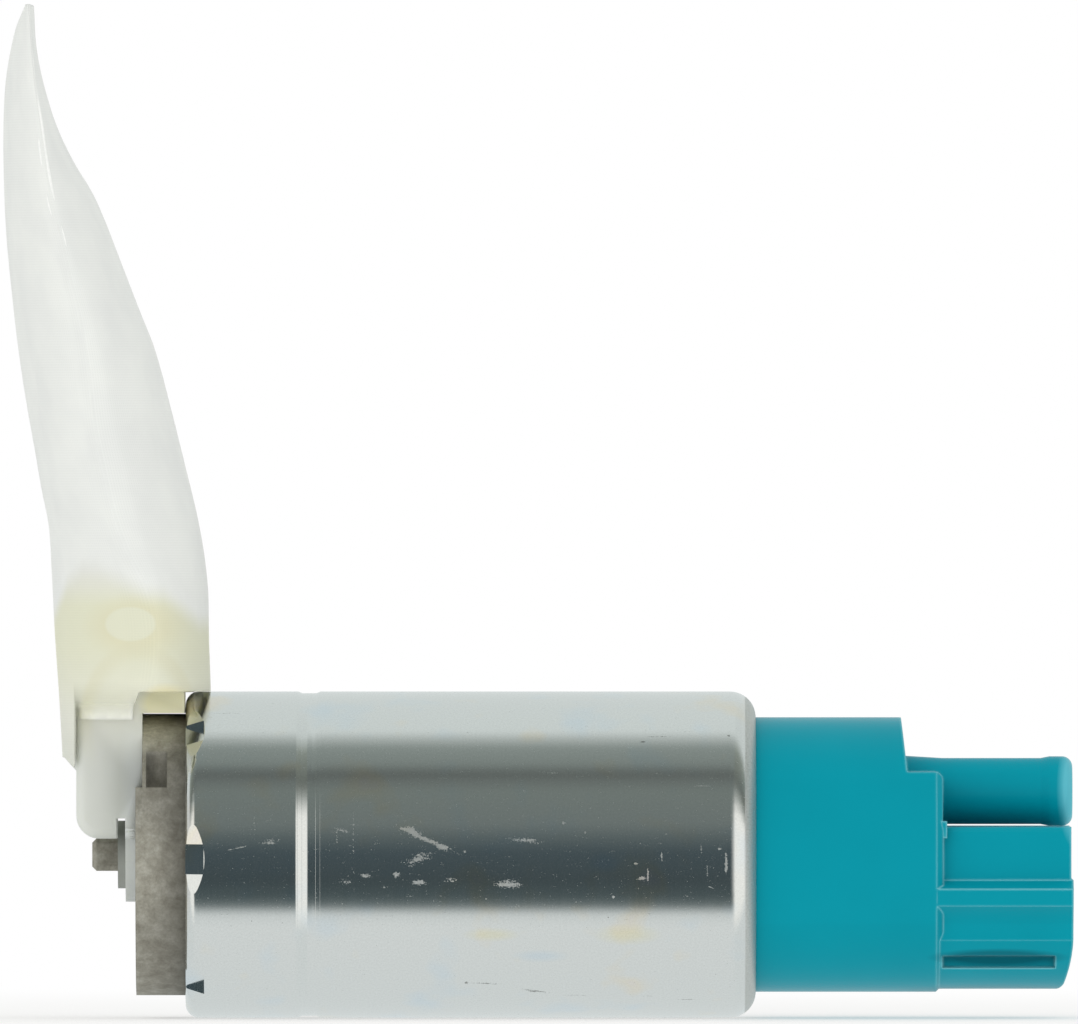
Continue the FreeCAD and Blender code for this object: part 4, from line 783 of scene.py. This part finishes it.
@dataclass(frozen=True)
class Weld(Finish):
    """Heat-sealed nylon cloth: the threads have melted into a denser, glossier strip, whose lighter
    colour is partly a painted highlight along the ridge.

    Attributes:
        colour: sRGB hex colour of the strip, lighter than the cloth: partly the denser weld, partly a
            painted highlight.
        pitch: Distance between the points that the welding tool leaves.
    """

    colour: str = "FEFFFB"
    pitch: float = 0.8

    def surface(self, tree: Tree) -> dict[str, Value]:
        """Rows of points: the distance to the nearest one sinks the strip there."""
        sheet = tree.add("UVMap", uv_map="UVMap")
        points = tree.add("TexVoronoi", sheet, scale=1 / self.pitch, randomness=0.0, feature="F1")
        shade = tree.add("MapRange", points, to_min=0.9)
        return {
            "base_color": tree.add("HueSaturation", color=self.colour, value=shade),
            "normal": tree.add("Bump", height=points, strength=0.4, distance=0.1 * MM),
        }


def new_object(name: str, data: ID) -> Object:
    """Makes an object at the origin and links it to the scene."""
    thing = bpy.data.objects.new(name, data)
    bpy.context.scene.collection.objects.link(thing)
    return thing


def wrapped_surface(name: str, points: np.ndarray, maps: np.ndarray) -> Object:
    """Makes a mesh of quads from a grid of points whose last column joins the first.

    Args:
        name: Name of the object and its mesh.
        points: Grid of shape (rows, columns, 3).
        maps: The sheet's own coordinates at each grid corner, of shape (rows, columns + 1, 2).

    Returns:
        The object, at the origin.
    """
    rows, columns = points.shape[:2]
    row, column = np.meshgrid(np.arange(rows - 1), np.arange(columns), indexing="ij")
    after = (column + 1) % columns
    ring = row * columns
    quads = np.stack(
        [ring + column, ring + after, ring + columns + after, ring + columns + column], axis=-1
    ).reshape(-1, 4)
    mesh = bpy.data.meshes.new(name)
    mesh.from_pydata((points.reshape(-1, 3) * MM).tolist(), [], quads.tolist())
    at_corners = np.stack(
        [maps[row, column], maps[row, column + 1], maps[row + 1, column + 1], maps[row + 1, column]],
        axis=2,
    )
    layer = mesh.uv_layers.new(name="UVMap")
    layer.data.foreach_set("uv", at_corners.reshape(-1).astype(np.float32))
    mesh.polygons.foreach_set("use_smooth", np.ones(len(quads), dtype=bool))
    mesh.update()
    return new_object(name, mesh)


def smooth_line(heights: np.ndarray, stations: Line) -> np.ndarray:
    """Runs a smooth line through stations: cubic pieces whose slopes are those of the neighbours.

    Args:
        heights: Where the line is wanted.
        stations: Heights in rising order, each with its value.

    Returns:
        The line's value at each height.
    """
    place, value = np.array(stations).T
    slope = np.gradient(value, place)
    index = np.clip(np.searchsorted(place, heights) - 1, 0, len(place) - 2)
    span = place[index + 1] - place[index]
    t = np.clip((heights - place[index]) / span, 0.0, 1.0)
    square, cube = t * t, t * t * t
    return (
        (2 * cube - 3 * square + 1) * value[index]
        + (cube - 2 * square + t) * span * slope[index]
        + (3 * square - 2 * cube) * value[index + 1]
        + (cube - square) * span * slope[index + 1]
    )


@dataclass(frozen=True)
class StrainerBag:
    """The woven bag: a pillow with welded side seams and a welded top, open round the base.

    Each line is a row of stations, a height and a place.

    Attributes:
        outer: Place in X of the face that points away from the pump.
        inner: Place in X of the face above the pump.
        seam: Place in X of the side seams.
        half_width: Half of the bag's width.
        ridge: Half width of the welded ridge along the side seams.
        ridge_rise: How far the ridge stands out.
        seam_from: Height at which the side seams start, at the frame.
        fullness: How far each face runs straight out from the seams before it turns.
        thickness: Thickness of the cloth as drawn.
        columns: Grid columns round the bag.
        rows: Grid rows up the bag.
        top: Height of the welded top.
        base_back: Place in X where the lower edge steps up onto the base.
        base_front: Place in X where it steps up onto the tube.
        tail: Height of the lower edge behind the base.
        over_base: Height of the lower edge on the base.
        over_tube: Height of the lower edge on the tube.
        step: Length along X in which the lower edge steps up.
        slant: How far the lower edge rises behind the base.
        gauge: Height at which each column's place is taken for the lower edge.
        crowding: Power that crowds the rows near the lower edge, where the bag turns most.
        taut: Height below which the frame holds the cloth without slack.
        finish: The cloth's finish.
        weld: The seams' finish.
    """

    outer: Line = (
        (9.0, -47.3), (18.0, -47.8), (26.2, -48.35), (33.2, -48.7), (38.4, -49.05),
        (43.0, -49.95), (47.1, -50.65), (52.4, -51.6), (57.6, -52.4), (64.6, -53.25),
        (73.4, -54.05), (80.4, -54.3), (86.0, -54.28), (90.5, -54.0), (94.0, -53.4),
        (96.6, -52.75), (98.9, -51.75),
    )
    inner: Line = (
        (9.0, -30.3), (19.2, -30.45), (25.0, -30.65), (31.4, -30.8), (34.9, -31.2),
        (38.4, -31.8), (45.4, -33.45), (52.4, -35.2), (55.9, -36.1), (59.4, -37.15),
        (62.9, -38.55), (69.9, -41.25), (73.4, -42.6), (76.9, -44.15), (80.4, -46.25),
        (83.9, -48.0), (89.1, -49.75), (94.4, -50.85), (98.9, -51.1),
    )
    seam: Line = (
        (9.0, -38.6), (32.0, -38.0), (34.8, -39.5), (39.5, -41.3), (44.6, -42.5),
        (48.8, -43.4), (57.6, -44.5), (62.8, -45.4), (66.5, -46.3), (71.6, -47.5),
        (77.2, -48.9), (84.2, -49.9), (91.0, -50.8), (98.9, -51.4),
    )
    half_width: Line = (
        (9.0, 17.0), (20.0, 19.0), (33.0, 21.3), (48.0, 22.3), (62.5, 22.5),
        (77.0, 22.1), (88.0, 20.9), (94.5, 18.6), (98.9, 16.0),
    )
    ridge: Line = (
        (31.8, 0.08), (36.0, 0.50), (44.0, 0.62), (50.0, 0.56), (56.0, 0.46),
        (63.0, 0.40), (72.0, 0.48), (82.0, 0.44), (88.0, 0.28), (99.0, 0.05),
    )
    ridge_rise: float = 0.18
    seam_from: float = 31.8
    fullness: float = 0.88
    thickness: float = 0.15
    columns: int = 240
    rows: int = 220
    top: float = 98.9
    base_back: float = -45.9
    base_front: float = -39.25
    tail: float = 9.85
    over_base: float = 15.8
    over_tube: float = 19.05
    step: float = 0.7
    slant: float = 1.5
    gauge: float = 16.0
    crowding: float = 1.15
    taut: float = 30.0
    finish: WovenNylon = WovenNylon("nylon_strainer_cloth", 0.55)
    weld: Weld = Weld("welded_nylon_seam", 0.5)

    def hem(self, place: np.ndarray) -> np.ndarray:
        """Height of the bag's lower edge: it steps up over the base and the tube.

        Args:
            place: Place in X of each column at the base.

        Returns:
            The lower edge's height at each column.
        """
        lower = self.tail + np.clip(self.base_back - place, 0.0, self.slant)
        onto_base, onto_tube = self.over_base - self.tail, self.over_tube - self.over_base
        for at, rise in ((self.base_back, onto_base), (self.base_front, onto_tube)):
            t = np.clip((place - at) / self.step + 0.5, 0.0, 1.0)
            lower = lower + rise * (t * t * (3 - 2 * t))
        return lower

    def cloth(self) -> Object:
        """Builds the bag's cloth.

        At height z each face is a cubic curve from seam to seam, with t from 0 to 1:
        x = seam + (face - seam) * 4t(1 - t), and y = half width * ((1 - t)^3 - t^3 +
        3 * fullness * t(1 - t)(1 - 2t)). Waves of 0.1 to 0.3 mm give the slack between the seams.

        Returns:
            The cloth's object.
        """
        half = self.columns // 2
        t = np.linspace(0.0, 1.0, half, endpoint=False)
        run = (1 - t) ** 3 - t**3 + 3 * self.fullness * t * (1 - t) * (1 - 2 * t)
        side = np.concatenate([-run, run])
        is_outer = np.repeat([1.0, 0.0], half)
        bulge = np.tile(4 * t * (1 - t), 2)

        def across(height: np.ndarray, swell: np.ndarray | float) -> np.ndarray:
            """Place in X of each column at a height, with its bulge made larger or smaller."""
            outer, inner = smooth_line(height, self.outer), smooth_line(height, self.inner)
            seam = smooth_line(height, self.seam)
            return seam + (np.where(is_outer > 0.5, outer, inner) - seam) * bulge * swell

        lower = self.hem(across(np.full(self.columns, self.gauge), 1.0))
        share = np.linspace(0.0, 1.0, self.rows)[:, None] ** self.crowding
        height = lower + (self.top - lower) * share
        loose = np.clip((height - self.taut) / (self.top - self.taut), 0.0, 1.0)
        slack = np.sin(loose * math.pi)
        wave = (
            0.5 * np.sin(side * 7.0 + height * 0.16)
            + 0.3 * np.sin(side * 13.0 - height * 0.27 + is_outer * 2.0)
            + 0.2 * np.sin(side * 4.0 + height * 0.55 + 1.0)
        )
        puff = bulge * (1.0 - bulge) * 4.0
        x = across(height, 1.0 + 0.05 * wave * slack * puff)
        points = np.stack([x, smooth_line(height, self.half_width) * side, height], axis=-1)
        ring = points[self.rows // 2]
        steps = np.linalg.norm(np.diff(np.vstack([ring, ring[:1]]), axis=0), axis=1)
        round_bag = np.tile(np.concatenate([[0.0], np.cumsum(steps)]), (self.rows, 1))
        maps = np.stack([round_bag, np.concatenate([height, height[:, :1]], axis=1)], axis=-1)
        bag = wrapped_surface("strainer_bag_cloth", points, maps)
        wall = bag.modifiers.new("wall", "SOLIDIFY")
        wall.thickness = self.thickness * MM
        wall.offset = -1.0
        return bag

    def side_seam(self, side: int) -> Object:
        """Builds the welded ridge of one side seam, where both faces are pressed together.

        Its section is a closed half ellipse: x = seam + half width * cos(a) and y = edge + rise *
        sin(a), with a from 0 to half a turn, and a flat back 0.12 mm inside the bag. It thins
        towards both ends, is widest near the frame, and waves to and fro by 0.04 mm.

        Args:
            side: -1 for the side that faces -Y, 1 for the other.

        Returns:
            The ridge's object.
        """
        height = np.linspace(self.seam_from, self.top - 0.1, 150)[:, None]
        turn = np.linspace(0.0, math.pi, 12)[None, :]
        wide = smooth_line(height, self.ridge)
        ripple = 0.04 * np.sin(height * 0.9)
        x = smooth_line(height, self.seam) + ripple + wide * np.cos(turn)
        edge = smooth_line(height, self.half_width) - 0.12
        y = side * (edge + self.ridge_rise * np.sin(turn) * np.clip(wide / 0.3, 0.0, 1.0))
        points = np.stack([x, y, height + 0.0 * turn], axis=-1)
        if side > 0:
            points = points[:, ::-1]
        around = np.concatenate([turn[0], [math.pi + 1.0]])[None, :] + 0.0 * height
        maps = np.stack([around, height + 0.0 * around], axis=-1)
        name = "strainer_seam_left" if side < 0 else "strainer_seam_right"
        return wrapped_surface(name, points, maps)

    def build(self) -> list[Object]:
        """Builds the bag in place of its CAD solid.

        Returns:
            The pieces.
        """
        cloth = self.cloth()
        cloth.data.materials.append(self.finish.build())
        weld = self.weld.build()
        strips = [self.side_seam(-1), self.side_seam(1)]
        for strip in strips:
            strip.data.materials.append(weld)
        for piece in (cloth, *strips):
            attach(piece, "pump_body")
            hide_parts("strainer_bag")
        return [cloth, *strips]


def merged_copy(source: Object) -> Mesh:
    """Copies a CAD node's mesh to the origin, with its loose triangles joined.

    Args:
        source: The CAD node.

    Returns:
        The copy.
    """
    copy = source.data.copy()
    copy.transform(source.matrix_world)
    joined = bmesh.new()
    joined.from_mesh(copy)
    bmesh.ops.remove_doubles(joined, verts=joined.verts, dist=0.002 * MM)
    joined.to_mesh(copy)
    joined.free()
    return copy


def stand_in(source: Object, mesh: Mesh) -> Object:
    """Makes a piece that is shown in place of a CAD node, with the node's own finish.

    Args:
        source: The CAD node.
        mesh: The piece's mesh, in its place.

    Returns:
        The piece.
    """
    mesh.polygons.foreach_set("use_smooth", np.ones(len(mesh.polygons), dtype=bool))
    mesh.set_sharp_from_angle(angle=30.0 * DEGREE)
    mesh.materials.clear()
    mesh.materials.append(source.data.materials[0])
    piece = new_object(f"{source.name}_shown", mesh)
    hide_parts(source.name)
    return piece


@dataclass(frozen=True)
class Room:
    """A box of empty space.

    Attributes:
        low: Its lowest corner.
        high: Its highest corner.
    """

    low: Point
    high: Point

    def block(self) -> Object:
        """Makes the box as a closed mesh that faces outwards.

        Returns:
            The box's object.
        """
        ends = (self.low, self.high)
        spots = [[ends[number >> axis & 1][axis] * MM for axis in range(3)] for number in range(8)]
        faces = [(0, 2, 3, 1), (4, 5, 7, 6), (0, 1, 5, 4), (2, 6, 7, 3), (0, 4, 6, 2), (1, 3, 7, 5)]
        mesh = bpy.data.meshes.new("room")
        mesh.from_pydata(spots, [], faces)
        return new_object("room", mesh)


@dataclass(frozen=True)
class Saddle:
    """The strainer's base with the underside of its hood cut level over the pump.

    Attributes:
        rooms: The room over the inlet cover, and the rooms over both sides of the steel tube.
    """

    rooms: tuple[Room, ...] = (
        Room((-38.2, -40.0, -30.0), (-20.0, 40.0, 16.5)),
        Room((-33.3, -40.0, -30.0), (-20.0, -2.5, 19.1)),
        Room((-33.3, 2.5, -30.0), (-20.0, 40.0, 19.1)),
    )

    def build(self, nodes: CadNodes) -> Object:
        """Cuts the rooms out of a merged copy of the CAD solid.

        Args:
            nodes: The frame's nodes, with their finishes.

        Returns:
            The base's object.
        """
        source = nodes["strainer_base"]
        uncut = new_object("strainer_base_uncut", merged_copy(source))
        blocks = [room.block() for room in self.rooms]
        for block in blocks:
            cut = uncut.modifiers.new("cut", "BOOLEAN")
            cut.operation = "DIFFERENCE"
            cut.solver = "EXACT"
            cut.object = block
        bpy.context.view_layer.update()
        ready = uncut.evaluated_get(bpy.context.evaluated_depsgraph_get())
        mesh = bpy.data.meshes.new_from_object(ready)
        for spare in (uncut, *blocks):
            bpy.data.objects.remove(spare)
        base = stand_in(source, mesh)
        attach(base, "pump_body")
        return base


@dataclass(frozen=True)
class LiveSpring:
    """A coil spring that the piece in front of it pushes, shown as a merged copy of its CAD node.

    Attributes:
        node: The CAD node it stands for.
        joint: The joint that pushes it; not used.
        travel: How far that joint goes; not used.
    """

    node: str
    joint: str
    travel: float

    def build(self, nodes: CadNodes) -> Object:
        """Shows a merged copy of the CAD coil in its place. Its far end rests on a fixed wall.

        Args:
            nodes: The frame's nodes, with their finishes.

        Returns:
            The spring's object.
        """
        source = nodes[self.node]
        coil = stand_in(source, merged_copy(source))
        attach(coil, "pump_body")
        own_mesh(coil)
        return coil


def finishes() -> tuple[tuple[Finish, str], ...]:
    """Every finish of the pump's CAD nodes, each with the nodes that have it."""
    return (
        (PlatedTube("zinc_plated_rolled_steel", 0.14), "housing_tube"),
        (DieCasting("raw_die_cast_aluminium", 0.62), "inlet_cover pump_casing"),
        (
            Moulding("natural_acetal", 0.35, "DCD8C8", "ECEADF", 0.15, 0.1, depth=0.2),
            "thrust_pad check_valve_piston",
        ),
        (Moulding("moulded_phenolic", 0.45, "2B211C", "4A3B33", 0.1, 0.15), "impeller"),
        (Sintered("sintered_bronze", 0.5, "A87A45", "D9A868", 0.15), "front_bearing rear_bearing"),
        (
            WorkedMetal("ground_steel", 0.18, "C4C6C8", "B0B3B5", Spread.AROUND_X, 0.08, 0.05),
            "shaft relief_valve_ball",
        ),
        (Stack("lacquered_laminations", 0.45, "5A5E64", "24262A", 0.5, 0.7), "armature_core"),
        (
            Stack("enamelled_copper_wire", 0.3, "B5622B", "6E3414", 0.45, 0.8),
            "armature_windings choke_left choke_right",
        ),
        (
            Sintered("pressed_carbon", 0.55, "17171A", "47474B", 0.15),
            "commutator brush_left brush_right",
        ),
        (Sintered("sintered_ferrite", 0.62, "2A2A2C", "4A4A4C", 0.2), "magnet_upper magnet_lower"),
        (
            WorkedMetal("bright_spring_steel", 0.3, "B5B7B8", "9DA0A2", Spread.ALONG_X, 0.1, 0.1),
            "magnet_clip_left magnet_clip_right brush_spring_left brush_spring_right "
            "check_valve_spring relief_valve_spring",
        ),
        (
            Moulding(
                "glass_filled_nylon_teal", 0.3, "0093A4", "7FD3DD", 0.5, 0.15, 0.2,
                gloss=0.06,
                bloom=0.1,
                spots=(
                    # Painted shade: a dark band low on the shroud.
                    ((61.4, 0.0, -11.9), (8.5, FAR, 1.1), "005A68"),
                    # Painted highlight on the nipple's end.
                    ((70.4, 0.0, 7.6), (2.2, FAR, 7.0), "6CC4D2"),
                    # Painted shade along the shroud's underside.
                    ((61.0, 0.0, -15.9), (12.0, FAR, 0.9), "008797"),
                ),
            ),
            "outlet_cover",
        ),
        (Sintered("fluorocarbon_rubber", 0.6, "141414", "2A2A2A", 0.3), "cover_seal"),
        (
            WorkedMetal("tinned_brass_blade", 0.32, "D2CFC0", "B9B5A2", Spread.ALONG_X, 0.12, 0.08),
            "terminal_left terminal_right",
        ),
        (
            WorkedMetal("turned_brass", 0.25, "C9A45C", "B48F4A", Spread.AROUND_X, 0.1, 0.08),
            "check_valve_seat relief_valve_seat",
        ),
        (MilkyNylon("natural_milky_nylon", 0.45), "strainer_base"),
        (
            WorkedMetal(
                "phosphated_spring_steel", 0.6, "A3A69F", "8C8F89", Spread.EVEN, 0.3, 0.25, 0.1
            ),
            "retaining_washer",
        ),
    )


def dress(nodes: CadNodes) -> None:
    """Gives each CAD node its material.

    Args:
        nodes: The frame's nodes.
    """
    for finish, names in finishes():
        material = finish.build()
        for name in names.split():
            nodes[name].data.materials.clear()
            nodes[name].data.materials.append(material)
            log.info("dressed %s with %s", name, finish.name)


@dataclass(frozen=True)
class Studio:
    """Floor, surroundings, lamps and camera.

    The photograph is 1078 by 1024 and shows 8.58 pixels to the millimetre, with the pump's
    origin at (470.75, 854.5).

    Attributes:
        scale: Photograph's pixels to the millimetre.
        origin: Photograph's pixel of the frame's origin.
        frame: Width and height of the photograph.
        lens: Focal length, long, because the photograph shows hardly any perspective.
        sensor: Width of the camera's sensor.
        floor: Height of the floor.
        front: What gloss mirrors in front of the pump, by degrees of roll from -Y upwards.
        flank: The same for gloss that looks aside.
        walls: Where the front gives way to the flank, by the direction's part along X.
    """

    scale: float = 8.58
    origin: tuple[float, float] = (470.75, 854.5)
    frame: tuple[float, float] = (1078.0, 1024.0)
    lens: float = 1500.0
    sensor: float = 36.0
    floor: float = -19.05
    front: Tones = (
        (-180, "DEE4E4"), (-52, "E4E8E7"), (-43, "DCE1E0"), (-36, "6E7878"), (-30, "4E5A5C"),
        (-18, "434E51"), (2, "465358"), (12, "5C6768"), (22, "727B79"), (46, "78817D"),
        (55, "6C7370"), (58, "616764"), (62, "6A716E"), (68, "838C88"), (82, "8E9793"),
        (90, "B6BDBA"), (98, "DCE3E1"), (180, "DEE4E3"),
    )
    flank: Tones = (
        (-180, "DEE4E4"), (-60, "E0E5E4"), (-44, "FFFFFA"), (30, "FFFFFA"), (44, "A8ADA8"),
        (52, "7A807A"), (58, "6C726C"), (82, "8E968E"), (98, "D6DDDB"), (180, "DEE4E3"),
    )
    walls: Line = ((0.16, 0.34), (-0.42, -0.58))

    def camera(self) -> None:
        """Puts the camera level on the -Y side, so far off that the photograph's frame fits."""
        data = bpy.data.cameras.new("camera")
        data.lens = self.lens
        data.sensor_width = self.sensor
        data.clip_end = 60.0
        eye = new_object("camera", data)
        wide, high = self.frame
        distance = wide / self.scale * MM * self.lens / self.sensor
        across = (wide / 2 - self.origin[0]) / self.scale * MM
        up = (self.origin[1] - high / 2) / self.scale * MM
        eye.location = (across, -distance, up)
        eye.rotation_euler = (math.pi / 2, 0.0, 0.0)
        bpy.context.scene.camera = eye

    def lamp(self, name: str, place: Point, size: float, power: float) -> None:
        """Adds a soft lamp that looks at the pump.

        Args:
            name: The lamp's name.
            place: Where it is, in metres.
            size: Its side in metres.
            power: Its power in watts.
        """
        data = bpy.data.lights.new(name, "AREA")
        data.size = size
        data.energy = power
        light = new_object(name, data)
        light.location = place
        x, y, z = place
        tilt, turn = math.atan2(math.hypot(x, y), z), math.atan2(y, x) + math.pi / 2
        light.rotation_euler = (tilt, 0.0, turn)
        light.visible_glossy = False

    def floor_plane(self) -> None:
        """Pale floor: it keeps the pump's soft shadow and turns plain white further away.

        It is mostly matt up to 80 mm from the pump's origin, and shines white from 350 mm.
        """
        mesh = bpy.data.meshes.new("floor")
        reach, level = 30.0, self.floor * MM
        edges = [(x * reach, y * reach, level) for x, y in ((-1, -1), (1, -1), (1, 1), (-1, 1))]
        mesh.from_pydata(edges, [], [(0, 1, 2, 3)])
        plane = new_object("floor", mesh)
        material = bpy.data.materials.new("matt_white_floor")
        tree = Tree(material)
        away = tree.add("VectorMath", tree.place, operation="LENGTH")
        far = tree.add("MapRange", away, 0.08, 0.35, 0.45, 1.0, interpolation_type="SMOOTHSTEP")
        matt = tree.add("BsdfDiffuse", "F4F4F2")
        white = tree.add("Emission", "FFFFFF", 1.0)
        tree.add("OutputMaterial", tree.add("MixShader", far, matt, white))
        mesh.materials.append(material)
        plane.visible_glossy = False
        plane.visible_diffuse = False
        plane.visible_transmission = False

    def surroundings(self) -> None:
        """World: white to the camera, a plain level for matt surfaces, a studio for glossy ones.

        The studio is a function of the direction's roll about X, from -Y upwards: dark ahead,
        where the camera stands, grey above it, white below and behind. Ahead of the pump and
        to its sides there are two soft white walls.
        """
        world = bpy.data.worlds.new("studio")
        bpy.context.scene.world = world
        tree = Tree(world)
        way = tree.add("TexCoord").outputs["Generated"]
        x, y, z = tree.add("SeparateXYZ", way).outputs
        ahead = tree.add("Math", y, -1.0, operation="MULTIPLY")
        roll = tree.add("Math", z, ahead, operation="ARCTAN2")
        front, flank = (tree.along(roll, tones, DEGREE) for tones in (self.front, self.flank))
        walls = [
            tree.add("MapRange", x, near, far, interpolation_type="SMOOTHSTEP")
            for near, far in self.walls
        ]
        off_axis = tree.add("Math", *walls, operation="MAXIMUM")
        room = tree.add("Mix", off_axis, front, flank, data_type="RGBA")
        aside = tree.add("Math", x, operation="ABSOLUTE")
        at_end = tree.add("MapRange", aside, 0.86, 0.98, interpolation_type="SMOOTHSTEP")
        room = tree.add("Mix", at_end, room, "D9DAD8", data_type="RGBA")
        ray = tree.add("LightPath").outputs
        matt = tree.add("Mix", ray["Is Diffuse Ray"], "FFFFFF", "FAFAFA", data_type="RGBA")
        seen = tree.add("Mix", ray["Is Glossy Ray"], matt, room, data_type="RGBA")
        tree.add("OutputWorld", tree.add("Background", seen, 1.0))

    def build(self) -> None:
        """Builds the whole studio."""
        bpy.context.scene.view_settings.view_transform = "Standard"
        self.camera()
        self.floor_plane()
        self.surroundings()
        self.lamp("key", (-0.5, -0.9, 0.5), 0.8, 1.2)
        self.lamp("fill", (0.6, -0.9, -0.4), 0.8, 3.1)
        log.info("built the studio")


def main() -> None:
    """Builds the pump's looks."""
    logging.basicConfig(level=logging.INFO, format="%(name)s: %(message)s")
    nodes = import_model()["nodes"]
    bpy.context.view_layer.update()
    Studio().build()
    dress(nodes)
    springs = (
        LiveSpring("check_valve_spring", "check_valve_lift", 2.0),
        LiveSpring("relief_valve_spring", "relief_valve_lift", 1.5),
        LiveSpring("brush_spring_left", "brush_left_slide", 2.5),
        LiveSpring("brush_spring_right", "brush_right_slide", 2.5),
    )
    pieces = [Saddle().build(nodes), *(spring.build(nodes) for spring in springs)]
    for piece in (*pieces, *StrainerBag().build()):
        log.info("built %s", piece.name)
    bpy.context.view_layer.update()


if __name__ == "__main__":
    main()
